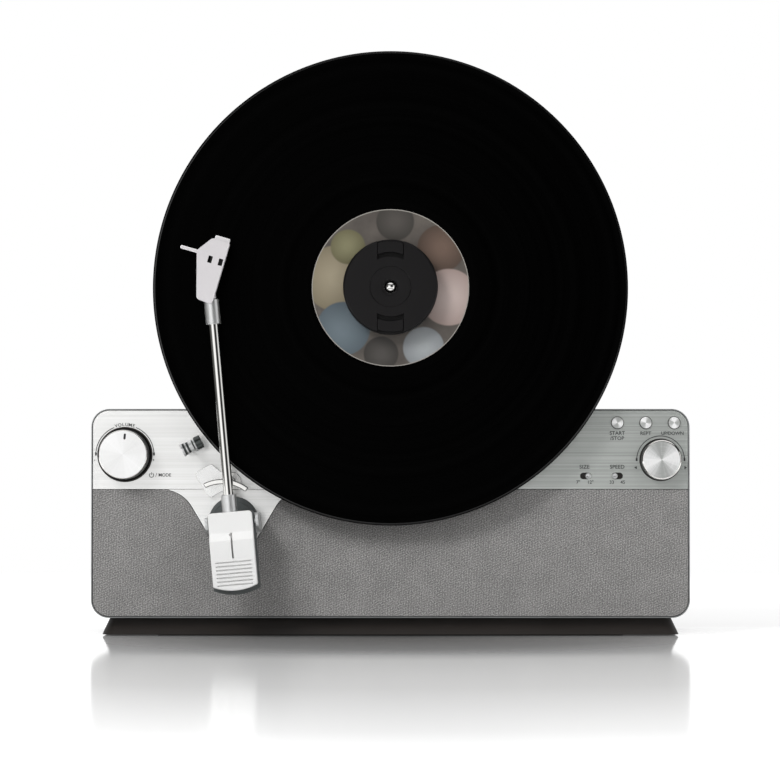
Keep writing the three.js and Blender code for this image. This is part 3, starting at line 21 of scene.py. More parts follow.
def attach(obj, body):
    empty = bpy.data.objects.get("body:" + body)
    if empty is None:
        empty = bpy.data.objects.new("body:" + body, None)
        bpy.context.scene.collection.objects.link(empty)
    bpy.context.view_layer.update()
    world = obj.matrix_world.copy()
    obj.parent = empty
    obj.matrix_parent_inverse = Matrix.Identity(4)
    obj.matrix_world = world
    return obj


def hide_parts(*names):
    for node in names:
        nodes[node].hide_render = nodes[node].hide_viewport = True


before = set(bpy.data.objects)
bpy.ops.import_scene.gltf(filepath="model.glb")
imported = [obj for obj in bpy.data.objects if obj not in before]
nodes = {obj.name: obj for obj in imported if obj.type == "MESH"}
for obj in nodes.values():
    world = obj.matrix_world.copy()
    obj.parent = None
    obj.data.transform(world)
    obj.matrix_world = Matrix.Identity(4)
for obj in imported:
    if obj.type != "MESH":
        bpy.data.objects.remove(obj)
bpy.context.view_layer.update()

# %% [markdown]
# ## Places
#
# A handful of sizes fix where things are. The arm leans to the left, so its pieces are drawn along
# a straight tube and carried over by one matrix. The headshell turns back against the tube, so it
# has a matrix of its own. A matrix is the plainest way to say "the same drawing, set down there".

# %% Places in the front view
MM = 0.001
PANEL_FORWARD = 28.5  # from the frame's origin to the panel's face
STAND_UP = Matrix.Rotation(math.pi / 2, 4, "X") @ Matrix.Scale(MM, 4)
FRONT = Matrix.Translation((0, -PANEL_FORWARD * MM, 0)) @ STAND_UP
ALONG_X = Matrix.Rotation(math.pi / 2, 4, "Y")
ALONG_Y = Matrix.Rotation(-math.pi / 2, 4, "X")

SIDE, DEPTH = 191.6, 100
BOTTOM, TOP = 11.7, 145.4
FASCIA_LOW = 94.1
FRONT_SIDE = 190.5  # half the width of what fills the case's front
FRONT_CORNER = 10.4
RECORD_Y = 222.0
VOLUME = (-170.05, 116.2)
JOG = (173.0, 112.8)
BUTTONS = {"start": 145.4, "repeat": 163.55, "lift": 181.7}
BUTTON_Y = 136.5
SWITCHES = {"size": (125.0, 1), "speed": (145.3, -1)}
SWITCH_Y = 102.5
PIVOT = (-100.3, 73.2)
ARM_LEAN = 5.1
AXLE_OUT = 33


def at(x, y, z=0.0, turn=0.0):
    """A place in the front view, with a turn about the line of sight in degrees."""
    return Matrix.Translation((x, y, z)) @ Matrix.Rotation(math.radians(turn), 4, "Z")


DISC = at(0, RECORD_Y)
TURRET = at(*PIVOT)
SWING = TURRET @ at(0, 0, 0, ARM_LEAN)
ARM = SWING @ at(0, 0, AXLE_OUT)
HEAD_ON_ARM = at(1.5, 139.5, 0, -21.1)
print("arm axle at", [round(c, 4) for c in (FRONT @ ARM).translation])

# %% [markdown]
# ## The camera
#
# The photograph was taken from nearly two metres with a long lens, a little above the table, so the
# cabinet shows almost no side. Camera first: every later choice of detail depends on what it sees.
# The lens is worked out from the size of the record in the picture, which is a 12 inch disc.

# %% Camera
SENSOR_MM, LENS_PIXELS, PICTURE_PIXELS = 36, 2838, 780
scene = bpy.context.scene
bpy.ops.object.camera_add(location=(-0.0003, -1.8465, 0.1063), rotation=(math.radians(91.614), 0, 0))
camera = bpy.context.object
camera.name = "photo_camera"
camera.data.sensor_width = SENSOR_MM
camera.data.lens = SENSOR_MM * LENS_PIXELS / PICTURE_PIXELS
scene.camera = camera
print("lens", round(camera.data.lens, 1), "mm")

# %% [markdown]
# ## Ways to start a piece
#
# Nearly all of this object is plates cut to an outline or pieces turned on a lathe, so two helpers
# carry most of the work. Both start from a plane that is shrunk to one point. That point is
# extruded along the outline or the profile, as one would by clicking. The outline is then filled
# and extruded into a plate, and the profile is spun round its axis. Drawing in this way keeps round
# pieces truly round, where a cut out of a cube would not be.

# %% Draw and close up
WELD = 0.001  # points closer than this are merged


def only(piece):
    """Selects one piece and nothing else."""
    bpy.ops.object.select_all(action="DESELECT")
    piece.select_set(True)
    bpy.context.view_layer.objects.active = piece


def draw(name, points):
    """Extrudes one point through all the others and leaves the piece open for editing."""
    bpy.ops.object.select_all(action="DESELECT")
    bpy.ops.mesh.primitive_plane_add(size=1)
    piece = bpy.context.object
    piece.name = name
    bpy.ops.object.mode_set(mode="EDIT")
    bpy.ops.mesh.select_mode(type="VERT")
    bpy.ops.mesh.select_all(action="SELECT")
    bpy.ops.mesh.merge(type="CENTER")
    bpy.ops.transform.translate(value=points[0])
    for here, there in zip(points, points[1:]):
        step = [b - a for a, b in zip(here, there)]
        bpy.ops.mesh.extrude_vertices_move(TRANSFORM_OT_translate={"value": step})
    weld()
    return piece


def weld(threshold=WELD):
    """Merges the points that lie on each other."""
    bpy.ops.mesh.select_all(action="SELECT")
    bpy.ops.mesh.remove_doubles(threshold=threshold)


def close_up():
    """Points every face outwards and leaves edit mode."""
    bpy.ops.mesh.select_all(action="SELECT")
    bpy.ops.mesh.normals_make_consistent(inside=False)
    bpy.ops.object.mode_set(mode="OBJECT")


print("points closer than", WELD, "mm are merged")

# %% [markdown]
# From an open drawing there are two ways on: raise it or spin it. A block is the one shape that
# starts from a cube, because all of them are bevelled or cut further.

# %% Raise and turn
def slab(name, points, thickness):
    """A flat outline in space, filled and extruded along a vector."""
    piece = draw(name, [*points, points[0]])
    bpy.ops.mesh.edge_face_add()
    bpy.ops.mesh.extrude_region_move(TRANSFORM_OT_translate={"value": thickness})
    close_up()
    return piece


def plate(name, outline, back, front):
    """A plate cut to an outline seen from the front."""
    return slab(name, [(x, y, back) for x, y in outline], (0, 0, front - back))


def lathe(name, profile, steps=96):
    """Radius and height pairs, spun about Z. A profile that starts off the axis is closed."""
    closing = profile[:1] if profile[0][0] else []
    piece = draw(name, [(radius, 0, height) for radius, height in [*profile, *closing]])
    bpy.ops.mesh.spin(steps=steps, angle=2 * math.pi, center=(0, 0, 0), axis=(0, 0, 1))
    weld()
    close_up()
    return piece


def rod(radius, start, end, steps=48):
    """A plain round bar, for shafts and for the holes that they go through."""
    return lathe("rod", [(0, start), (radius, start), (radius, end), (0, end)], steps)


def box(name, left, low, back, right, high, front):
    """A block by its two corners."""
    bpy.ops.object.select_all(action="DESELECT")
    bpy.ops.mesh.primitive_cube_add(
        size=1,
        location=((left + right) / 2, (low + high) / 2, (back + front) / 2),
        scale=(right - left, high - low, front - back),
    )
    piece = bpy.context.object
    piece.name = name
    bpy.ops.object.transform_apply(location=True, rotation=True, scale=True)
    return piece


print("ways to start:", [way.__name__ for way in (slab, plate, lathe, rod, box)])

# %% [markdown]
# Outlines are lists of points. Three functions draw the ones that come back all the time.

# %% Outlines
def arc(x, y, radius, start, end, steps=12):
    """Points along an arc, with its angles in degrees."""
    angles = [math.radians(start + (end - start) * i / steps) for i in range(steps + 1)]
    return [(x + radius * math.cos(a), y + radius * math.sin(a)) for a in angles]


def rounded(left, low, right, high, low_corner, high_corner, steps=10):
    """A rectangle whose lower and upper corners are rounded."""
    outline = []
    for x, y, corner, start in (
        (right - low_corner, low + low_corner, low_corner, -90),
        (right - high_corner, high - high_corner, high_corner, 0),
        (left + high_corner, high - high_corner, high_corner, 90),
        (left + low_corner, low + low_corner, low_corner, 180),
    ):
        outline += arc(x, y, corner, start, start + 90, steps) if corner else [(x, y)]
    return outline


def capsule(x, y, length, width, steps=12):
    """A slot with round ends, lying across."""
    half, radius = (length - width) / 2, width / 2
    return arc(x + half, y, radius, -90, 90, steps) + arc(x - half, y, radius, 90, 270, steps)


print("a capsule has", len(capsule(0, 0, 2, 1)), "points")

# %% [markdown]
# ## Cutting, softening and joining
#
# Nothing made in a factory has a perfectly sharp edge, and the thin bright line along an edge is
# what tells metal from paper. A Bevel modifier limited by angle rounds all of a piece's sharp edges
# at once. Holes are cut with a Boolean modifier, because they go through plates with straight walls.

# %% Cut, soften and join
def cut(piece, *tools, how="DIFFERENCE"):
    """Takes each tool's shape out of the piece."""
    for tool in tools:
        only(piece)
        bpy.ops.object.modifier_add(type="BOOLEAN")
        hole = piece.modifiers[-1]
        hole.operation = how
        hole.solver = "EXACT"
        hole.object = tool
        bpy.ops.object.modifier_apply(modifier=hole.name)
        bpy.data.objects.remove(tool)
    return piece


def soften(piece, width, segments=3, angle=40):
    """Rounds the sharp edges."""
    only(piece)
    bpy.ops.object.modifier_add(type="BEVEL")
    bevel = piece.modifiers[-1]
    bevel.width = width
    bevel.segments = segments
    bevel.limit_method = "ANGLE"
    bevel.angle_limit = math.radians(angle)
    bevel.use_clamp_overlap = True
    bpy.ops.object.modifier_apply(modifier=bevel.name)
    return piece


def join(piece, *others):
    """Makes one object of several."""
    only(piece)
    for other in others:
        other.select_set(True)
    bpy.ops.object.join()
    return piece


def moved(piece, place):
    """Sets a piece down at a place and keeps that in its mesh."""
    only(piece)
    piece.matrix_world = place
    bpy.ops.object.transform_apply(location=True, rotation=True, scale=True)
    return piece


def copy_of(piece, name):
    """A copy with a mesh of its own."""
    only(piece)
    bpy.ops.object.duplicate(linked=False)
    bpy.context.object.name = name
    return bpy.context.object


print("ways to work on a piece:", [way.__name__ for way in (cut, soften, join, moved, copy_of)])

# %% [markdown]
# In edit mode, faces and edges are chosen in code by where they lie. Two moves come back: rounding
# the chosen edges, and sinking a face inwards by an inset and an extrusion.

# %% Choose, round and sink
def pick(kind, test):
    """Selects the faces whose middle and normal pass the test, or the edges whose two ends do."""
    bpy.ops.mesh.select_mode(type=kind)
    bpy.ops.mesh.select_all(action="DESELECT")
    mesh = bpy.context.edit_object.data
    shape = bmesh.from_edit_mesh(mesh)
    if kind == "FACE":
        for face in shape.faces:
            face.select_set(test(face.calc_center_median(), face.normal))
    else:
        for line in shape.edges:
            line.select_set(test(line.verts[0].co, line.verts[1].co))
    bmesh.update_edit_mesh(mesh)


def round_edges(piece, radius, segments, test):
    """Rounds the edges whose two ends pass the test, and leaves the piece open for editing."""
    only(piece)
    bpy.ops.object.mode_set(mode="EDIT")
    pick("EDGE", test)
    bpy.ops.mesh.bevel(offset_type="OFFSET", offset=radius, segments=segments, profile=0.5, affect="EDGES")


def sink(wall, depth):
    """Leaves a wall round the chosen face and pushes the rest of it along Z."""
    bpy.ops.mesh.inset(thickness=wall)
    bpy.ops.mesh.extrude_region_move(TRANSFORM_OT_translate={"value": (0, 0, depth)})


print("moves in edit mode:", [move.__name__ for move in (pick, round_edges, sink)])

# %% [markdown]
# One function puts a finished drawing into the model. It stands the piece up, smooths it, and sets
# its normals by the size of its faces, so that flat faces stay flat beside their rounded edges.
# Where an edge was polished, or carries a painted highlight or painted shade, the bevel's faces get
# a finish of their own. They are the faces that look neither straight to the front nor to the side.

# %% Put in place and dress
SMOOTH_BELOW = math.radians(38)


def fit(piece, body, finish, place=Matrix(), hides=()):
    """Stands a piece up in its place and gives it a body, a finish and what it stands for."""
    moved(piece, FRONT @ place)
    bpy.ops.object.shade_smooth_by_angle(angle=SMOOTH_BELOW)
    bpy.ops.object.modifier_add(type="WEIGHTED_NORMAL")
    piece.modifiers[-1].keep_sharp = True
    bpy.ops.object.modifier_apply(modifier=piece.modifiers[-1].name)
    piece.data.materials.clear()
    piece.data.materials.append(finish)
    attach(piece, body)
    if hides:
        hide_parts(*hides)
    print(f"{piece.name}: {len(piece.data.polygons)} faces on {body}")
    return piece


def dress(piece, finish, test):
    """Gives the faces that pass the test another finish."""
    piece.data.materials.append(finish)
    for face in piece.data.polygons:
        if test(face):
            face.material_index = len(piece.data.materials) - 1


def edge(piece, finish, low=0.2, high=0.96):
    """Gives the faces between front and side another finish."""
    dress(piece, finish, lambda face: low < -face.normal.y < high)


print("smooth below", round(math.degrees(SMOOTH_BELOW)), "degrees")

# %% [markdown]
# ## Materials
#
# Every material below starts from what the real one is and how its surface was made. Three helpers
# are enough: one turns a hex colour into the linear values that Blender works in, one adds a node
# with its settings and links, and one starts a material. Patterns are placed by Object coordinates
# in metres, so their scale is one over the size of a feature.

# %% Colour and node helpers
def colour(code):
    """An sRGB hex colour as linear red, green, blue and alpha."""
    parts = [int(code[i:i + 2], 16) / 255 for i in (1, 3, 5)]
    return tuple(c / 12.92 if c <= 0.04045 else ((c + 0.055) / 1.055) ** 2.4 for c in parts) + (1.0,)


def add(tree, kind, inputs=None, stops=(), **settings):
    """Adds one node. An input is a plain value, an output, or a node, whose first output is meant.

    The stops of a colour ramp are pairs of place and hex colour.
    """
    made = tree.nodes.new("ShaderNode" + kind)
    for name, value in settings.items():
        setattr(made, name, value)
    if stops:
        band = made.color_ramp.elements
        while len(band) < len(stops):
            band.new(0.5)
        for element, (place, code) in zip(band, stops):
            element.position = place
            element.color = colour(code)
    for name, value in (inputs or {}).items():
        if isinstance(value, bpy.types.Node):
            value = next(out for out in value.outputs if out.enabled)
        if isinstance(value, bpy.types.NodeSocket):
            tree.links.new(value, made.inputs[name])
        else:
            made.inputs[name].default_value = value
    return made


def blank(name):
    """A new material, its empty node tree and the coordinates that its patterns read."""
    made = bpy.data.materials.new(name)
    made.use_nodes = True
    made.node_tree.nodes.clear()
    return made, made.node_tree, add(made.node_tree, "TexCoord").outputs["Object"]


WHITE = colour("#ffffff")
NOISE = {"From Min": 0.3, "From Max": 0.7}  # most of a noise's values lie between these
print("white is", WHITE)

# %% [markdown]
# ### Moulded and painted surfaces
#
# The case is painted in silver-grey metallic paint, which shows a faint orange peel, a few tenths of
# a millimetre wide and almost flat. Moulded ABS has a spark-eroded grain of about half a millimetre.
# Both are noise in the bump and a little in the colour and gloss, so one recipe with other numbers
# makes all of them.

# %% Paints, plastics and rubber
def grained(name, dark, light, roughness, grain_mm, bump, metallic=0.0, coat=0.0, specular=0.5):
    """A moulded, cast or painted surface with an even grain."""
    made, tree, place = blank(name)
    grain = add(tree, "TexNoise", {"Vector": place, "Scale": 1 / (grain_mm * MM), "Detail": 4})
    cloud = add(tree, "TexNoise", {"Vector": place, "Scale": 18.0, "Detail": 2})
    tone = add(tree, "Math", {0: grain, 1: cloud}, operation="MULTIPLY")
    tint = add(tree, "ValToRGB", {"Fac": tone}, stops=[(0.12, dark), (0.42, light)])
    gloss = add(tree, "MapRange", {
        "Value": grain, **NOISE, "To Min": roughness - 0.05, "To Max": roughness + 0.05})
    relief = add(tree, "Bump", {"Height": grain, "Strength": bump, "Distance": grain_mm * MM * 0.3})
    skin = add(tree, "BsdfPrincipled", {
        "Base Color": tint, "Roughness": gloss, "Metallic": metallic, "Normal": relief,
        "Coat Weight": coat, "Specular IOR Level": specular})
    add(tree, "OutputMaterial", {"Surface": skin})
    return made


# Flakes under a clear coat: a broad shine that darkens towards the edges.
silver_paint = grained(
    "silver_grey_metallic_paint", "#8f9192", "#a4a6a6", 0.36, 0.35, 0.05, metallic=0.6, coat=0.2)
# A lacquered casting is near white with a soft highlight; bare zinc is greyer and a little duller.
silver_lacquer = grained(
    "silver_lacquered_casting", "#ececeb", "#f6f6f5", 0.38, 0.25, 0.05, metallic=0.15, coat=0.3)
cast_zinc = grained("satin_zinc_casting", "#cfd1d1", "#dcdede", 0.34, 0.4, 0.06, metallic=0.4)
# Moulded ABS: the grain breaks the highlight up.
black_abs = grained("black_moulded_abs", "#201c19", "#292421", 0.5, 0.5, 0.25)
clamp_abs = grained("satin_black_abs", "#0b0a0b", "#131112", 0.45, 0.35, 0.12, specular=0.25)
# grey ABS used as painted shade, under the weight block and round the guide plate's edges
painted_shade_grey_abs = grained("grey_abs_painted_shade", "#474b4b", "#555959", 0.45, 0.4, 0.1)
# pale ABS as a painted highlight on the headshell's bevelled edges
painted_highlight_edge = grained("pale_abs_painted_edge_highlight", "#f2f0f1", "#f8f6f7", 0.3, 0.4, 0.02)
headshell_abs = grained("pale_grey_abs", "#c9c6c8", "#d5d2d4", 0.42, 0.4, 0.08)
turret_abs = grained("grey_satin_abs", "#4c5050", "#5e6262", 0.38, 0.4, 0.1)
nylon_gear = grained("moulded_nylon", "#e2dfd4", "#eeebe2", 0.5, 0.6, 0.1)
# Rubber and paper pulp have almost no highlight, only an uneven tone.
matt_rubber = grained("matt_black_rubber", "#101010", "#191818", 0.85, 0.8, 0.3)
paper_pulp = grained("pressed_paper_pulp", "#7c7974", "#9b9791", 0.92, 1.2, 0.5)
print("grained finishes:", len(bpy.data.materials))

# %% [markdown]
# ### Brushed and turned metal
#
# The control panel is aluminium brushed from side to side, in streaks a few centimetres long. The
# real ones are finer than the picture can show, so they are drawn 0.8 mm high and thinner hairs
# between them. Stretching a noise along x makes them. The plate mirrors a bright screen on its left
# and a grey one on its right. Its colour also carries painted light and shade: a near white tone on
# the left half and a grey tone on the right half, mixed across x.

# %% Brushed aluminium
STREAK_MM = (220, 0.8)
brushed_aluminium, tree, place = blank("brushed_aluminium")
streak, hair = [
    add(tree, "TexNoise", {"Scale": 1.0, "Detail": detail, "Vector": add(tree, "Mapping", {
        "Vector": place, "Scale": (longer / (STREAK_MM[0] * MM), 1.0, finer / (STREAK_MM[1] * MM))})})
    for longer, finer, detail in ((1, 1, 3), (1.5, 3.2, 2))]
both = add(tree, "Mix", {"Factor": 0.4, "A": streak, "B": hair}, data_type="FLOAT")
# painted light and shade: a near white tone for the lit left half and a grey tone for the shaded right half
left, right = [
    add(tree, "ValToRGB", {"Fac": both}, stops=[(0.32, dark), (0.66, light)])
    for dark, light in (("#ebebe9", "#fffffe"), ("#b5bab6", "#eaeeea"))]
# the painted fall from light to shade, from left to right across the plate
across = add(tree, "MapRange", {
    "Value": add(tree, "SeparateXYZ", {"Vector": place}).outputs["X"], "From Min": -0.08, "From Max": 0.12})
tint = add(tree, "Mix", {"Factor": across, "A": left, "B": right}, data_type="RGBA")
gloss = add(tree, "MapRange", {"Value": both, **NOISE, "To Min": 0.23, "To Max": 0.17})
relief = add(tree, "Bump", {"Height": hair, "Strength": 0.35, "Distance": 0.05 * MM})
skin = add(tree, "BsdfPrincipled", {
    "Base Color": tint, "Roughness": gloss, "Metallic": 0.65, "Normal": relief})
add(tree, "OutputMaterial", {"Surface": skin})
print("streaks", STREAK_MM, "mm")

# %% [markdown]
# Turned metal has its streaks round the axis instead, so the noise is read by radius and angle. The
# bright and dark sectors that light makes on a turned face are painted into its colour as a painted
# highlight: a soft wave round the centre, with finer spokes in it.

# %% Turned metal
def about(tree, place, x, y):
    """The way from a centre in the front view: its parts, the flat vector and its length."""
    local = add(tree, "VectorMath", {0: place, 1: tuple(FRONT @ Vector((x, y, 0)))}, operation="SUBTRACT")
    parts = add(tree, "SeparateXYZ", {"Vector": local}).outputs
    flat = add(tree, "CombineXYZ", {"X": parts["X"], "Z": parts["Z"]})
    return parts, flat, add(tree, "VectorMath", {0: flat}, operation="LENGTH")


def turned_metal(name, dark, light, roughness, centre, metallic=1.0, sectors=0.0, turn=0.0):
    """Metal faced on a lathe: fine rings about a centre, with bright and dark sectors painted across them
    as a highlight.
    """
    made, tree, place = blank(name)
    parts, flat, radius = about(tree, place, *centre)
    angle = add(tree, "Math", {0: parts["Z"], 1: parts["X"]}, operation="ARCTAN2")
    ring = add(tree, "Math", {0: radius, 1: 1 / (0.35 * MM)}, operation="MULTIPLY")
    ring_place = add(tree, "CombineXYZ", {"X": ring, "Y": angle})
    rings = add(tree, "TexNoise", {"Vector": ring_place, "Scale": 1.0, "Detail": 3})
    # painted highlight: spokes and a soft wave of bright and dark sectors, laid into the colour
    spoke = add(tree, "Math", {0: angle, 1: 2.2}, operation="MULTIPLY")
    spoke_place = add(tree, "CombineXYZ", {"X": spoke})
    painted_spokes = add(tree, "TexNoise", {"Vector": spoke_place, "Scale": 1.6, "Detail": 5})
    twice = add(tree, "Math", {0: angle, 1: 2.0, 2: math.radians(turn)}, operation="MULTIPLY_ADD")
    wave = add(tree, "Math", {0: twice}, operation="COSINE")
    painted_sector_light = add(tree, "Math", {0: wave, 1: sectors * 0.5}, operation="MULTIPLY")
    mixed = add(tree, "Mix", {"Factor": 0.6, "A": rings, "B": painted_spokes}, data_type="FLOAT")
    tone = add(tree, "Math", {0: mixed, 1: painted_sector_light}, operation="ADD")
    tint = add(tree, "ValToRGB", {"Fac": tone}, stops=[(0.2, dark), (0.8, light)])
    relief = add(tree, "Bump", {"Height": rings, "Strength": 0.15, "Distance": 0.05 * MM})
    skin = add(tree, "BsdfPrincipled", {
        "Base Color": tint, "Roughness": roughness, "Metallic": metallic, "Normal": relief})
    add(tree, "OutputMaterial", {"Surface": skin})
    return made


# Each face has its own centre, and its painted highlight sectors are turned to an angle of their own.
volume_face = turned_metal("turned_aluminium_volume", "#eeeeed", "#ffffff", 0.36, VOLUME, 0.25, 0.35, 100)
jog_face = turned_metal("turned_aluminium_jog", "#b0b2b0", "#ffffff", 0.42, JOG, 0.4, 0.6, -15)
button_faces = {}
for turn, (name, x) in zip((40, 110, 180), BUTTONS.items()):
    button_faces[name] = turned_metal(
        f"turned_aluminium_{name}", "#b4b6b4", "#ffffff", 0.4, (x, BUTTON_Y), 0.25, 0.9, turn)
platter_metal = turned_metal(
    "turned_aluminium_platter", "#b9bab9", "#dcdddc", 0.34, (0, RECORD_Y), sectors=0.3)
print("turned faces: volume, jog, platter and", len(button_faces), "buttons")

# %% [markdown]
# ### Plated metal
#
# The arm's tube, the lifter and the spindle are chrome plated, so they show little but their
# surroundings. Only a trace of haze and a very fine polish mark are added. The collars are satin
# aluminium, a broader and greyer shine.

# %% Chrome, satin aluminium, steel, brass
def plated(name, code, roughness, haze, scale_mm):
    """Plated or polished metal, with a little haze in its shine."""
    made, tree, place = blank(name)
    marks = add(tree, "TexNoise", {"Vector": place, "Scale": 1 / (scale_mm * MM), "Detail": 3})
    gloss = add(tree, "MapRange", {
        "Value": marks, **NOISE, "To Min": roughness, "To Max": roughness + haze})
    relief = add(tree, "Bump", {"Height": marks, "Strength": 0.05, "Distance": 0.03 * MM})
    skin = add(tree, "BsdfPrincipled", {
        "Base Color": colour(code), "Roughness": gloss, "Metallic": 1.0, "Normal": relief})
    add(tree, "OutputMaterial", {"Surface": skin})
    return made


# Chrome mirrors sharply; anodised and bead-blasted aluminium blur the same picture more and more.
chrome = plated("chrome_plate", "#f4f3f0", 0.05, 0.03, 1.5)
satin_aluminium = plated("satin_anodised_aluminium", "#f0f1f1", 0.38, 0.04, 1.2)
blasted_aluminium = plated("bead_blasted_aluminium", "#fdfdfc", 0.24, 0.02, 1.2)
# The dark ones keep only a thin grey line of light, and brass turns it yellow.
# painted shade: black metal for the knobs' side walls
painted_shade_black_metal = plated("black_metal_painted_shade", "#101011", 0.3, 0.1, 0.5)
# painted shade: dark nickel for the rest's grooves and the lifter's edges, and for the rest's darker right
# end
painted_shade_nickel = plated("dark_nickel_painted_shade", "#545857", 0.24, 0.04, 1.0)
zinc_steel = plated("zinc_plated_steel", "#a8aaab", 0.34, 0.12, 1.2)
cast_brass = plated("turned_brass", "#c9a85a", 0.28, 0.1, 0.5)
print("finishes so far:", len(bpy.data.materials))

# %% [markdown]
# ### Record, label, cloth, board and ink
#
# A record is pressed vinyl, glossy and nearly black, with a groove every tenth of a millimetre.
# That is far too fine to show, so the rings are drawn six times as coarse, and shallow, so that the
# disc stays black from the front and only shimmers at a glance from the side. Broader rings mark
# the bands between tracks. The rim has no groove and gets a smoother vinyl of its own, a shade
# lighter in colour as a painted highlight along the edge.

# %% Vinyl
GROOVE_MM = 0.6
vinyl, tree, place = blank("pressed_vinyl")
radius = about(tree, place, 0, RECORD_Y)[2]
turns = add(tree, "Math", {0: radius, 1: 2 * math.pi / (GROOVE_MM * MM)}, operation="MULTIPLY")
groove = add(tree, "Math", {0: turns}, operation="SINE")
bands_at = add(tree, "CombineXYZ", {"X": radius})
bands = add(tree, "TexNoise", {"Vector": bands_at, "Scale": 160.0, "Detail": 4})
tint = add(tree, "ValToRGB", {"Fac": bands}, stops=[(0.3, "#000000"), (0.8, "#030303")])
gloss = add(tree, "MapRange", {
    "Value": bands, "From Min": 0.35, "From Max": 0.65, "To Min": 0.22, "To Max": 0.36})
relief = add(tree, "Bump", {"Height": groove, "Strength": 0.12, "Distance": 0.04 * MM})
skin = add(tree, "BsdfPrincipled", {
    "Base Color": tint, "Roughness": gloss, "Specular IOR Level": 0.015, "Normal": relief})
add(tree, "OutputMaterial", {"Surface": skin})
# painted highlight: the rim's vinyl is a shade lighter than the disc
rim_vinyl_painted_highlight = grained("vinyl_rim_painted_highlight", "#0b0b0b", "#121212", 0.2, 0.5, 0.02)
print("rings every", GROOVE_MM, "mm")

# %% [markdown]
# The label is coated paper with a plain printed pattern of soft overlapping discs in muted tones:
# taupe and brown above, cream to the left, pinkish grey to the right and blue grey below, with a
# pale line round its rim. Each disc is a distance from a point, cut off by a ramp, and laid over the
# ones before it.

# %% Printed label
DISCS = [  # across, up, radius, tone in the middle, tone at the edge
    (-34, 6, 21, "#9c927c", "#776e5a"), (-27, 26, 11, "#7e7b5e", "#656147"),
    (-30, -26, 17, "#68747b", "#515c63"), (32, 25, 15, "#68554a", "#4a3c33"),
    (37, -6, 18, "#b8a8a3", "#978680"), (21, -38, 13, "#9b9fa1", "#7f8386"),
    (-6, -42, 11, "#4a4744", "#35322f"), (3, 42, 12, "#4c4844", "#3a3733")]
printed_paper, tree, place = blank("printed_coated_paper")
flat, radius = about(tree, place, 0, RECORD_Y)[1:]
shade = add(tree, "TexNoise", {"Vector": flat, "Scale": 60.0, "Detail": 3})
picture = add(tree, "ValToRGB", {"Fac": shade}, stops=[(0.3, "#4a4541"), (0.7, "#5f5953")])
for x, y, size, light, dark in DISCS:
    away = add(tree, "VectorMath", {0: flat, 1: (x * MM, 0, y * MM)}, operation="DISTANCE")
    inside = add(tree, "MapRange", {
        "Value": away, "From Min": (size + 0.5) * MM, "From Max": (size - 0.5) * MM})
    fade = add(tree, "MapRange", {"Value": away, "From Min": 0.0, "From Max": size * MM})
    body = add(tree, "ValToRGB", {"Fac": fade}, stops=[(0.2, light), (1.0, dark)])
    picture = add(tree, "Mix", {"Factor": inside, "A": picture, "B": body}, data_type="RGBA")
rim = add(tree, "MapRange", {"Value": radius, "From Min": 49.3 * MM, "From Max": 49.6 * MM})
picture = add(tree, "Mix", {"Factor": rim, "A": picture, "B": colour("#98948e")}, data_type="RGBA")
fibre = add(tree, "TexNoise", {"Vector": place, "Scale": 1 / (0.5 * MM), "Detail": 3})
relief = add(tree, "Bump", {"Height": fibre, "Strength": 0.08, "Distance": 0.05 * MM})
skin = add(tree, "BsdfPrincipled", {
    "Base Color": picture, "Roughness": 0.5, "Specular IOR Level": 0.4, "Normal": relief})
add(tree, "OutputMaterial", {"Surface": skin})
print("discs on the label:", len(DISCS))

# %% [markdown]
# The grille cloth is a mottled grey twill whose threads run on the slant. Its threads are under a
# millimetre, so they are drawn 1.3 and 1.75 mm apart to show. Two sine waves along the slanted axes
# give the lumps where threads cross, and noise of 0.75 mm breaks them up, because in the photograph
# the weave reads as a speckle.

# %% Grille cloth
THREADS_MM = {"X": 1.3, "Z": 1.75}
cloth_twill, tree, place = blank("woven_grille_cloth")
slanted = add(tree, "Mapping", {"Vector": place, "Rotation": (0, math.radians(38), 0)})
parts = add(tree, "SeparateXYZ", {"Vector": slanted}).outputs
lines = []
for axis, pitch_mm in THREADS_MM.items():
    phase = add(tree, "Math", {0: parts[axis], 1: 2 * math.pi / (pitch_mm * MM)}, operation="MULTIPLY")
    lines.append(add(tree, "Math", {0: phase}, operation="SINE"))
cross = add(tree, "Math", {0: lines[0], 1: lines[1]}, operation="MULTIPLY")
speckle = add(tree, "TexNoise", {
    "Vector": slanted, "Scale": 1 / (0.75 * MM), "Detail": 2, "Roughness": 0.6})
patches = add(tree, "TexNoise", {"Vector": place, "Scale": 1 / (14 * MM), "Detail": 3})
woven = add(tree, "Math", {0: cross, 1: 0.14, 2: speckle}, operation="MULTIPLY_ADD")
mottled = add(tree, "Mix", {"Factor": 0.1, "A": woven, "B": patches}, data_type="FLOAT")
tint = add(tree, "ValToRGB", {"Fac": mottled}, stops=[
    (0.3, "#555555"), (0.5, "#848382"), (0.7, "#bcbab8")])
relief = add(tree, "Bump", {"Height": woven, "Strength": 0.5, "Distance": 0.25 * MM})
skin = add(tree, "BsdfPrincipled", {
    "Base Color": tint, "Roughness": 0.9, "Sheen Weight": 0.15, "Specular IOR Level": 0.25,
    "Normal": relief})
add(tree, "OutputMaterial", {"Surface": skin})
print("threads", THREADS_MM, "mm apart")

# %% [markdown]
# Two finishes are left: the green lacquered board inside, with copper showing through it as paler
# tracks, and the dark grey screen-printed ink of the legends, which lies a hair above the metal.

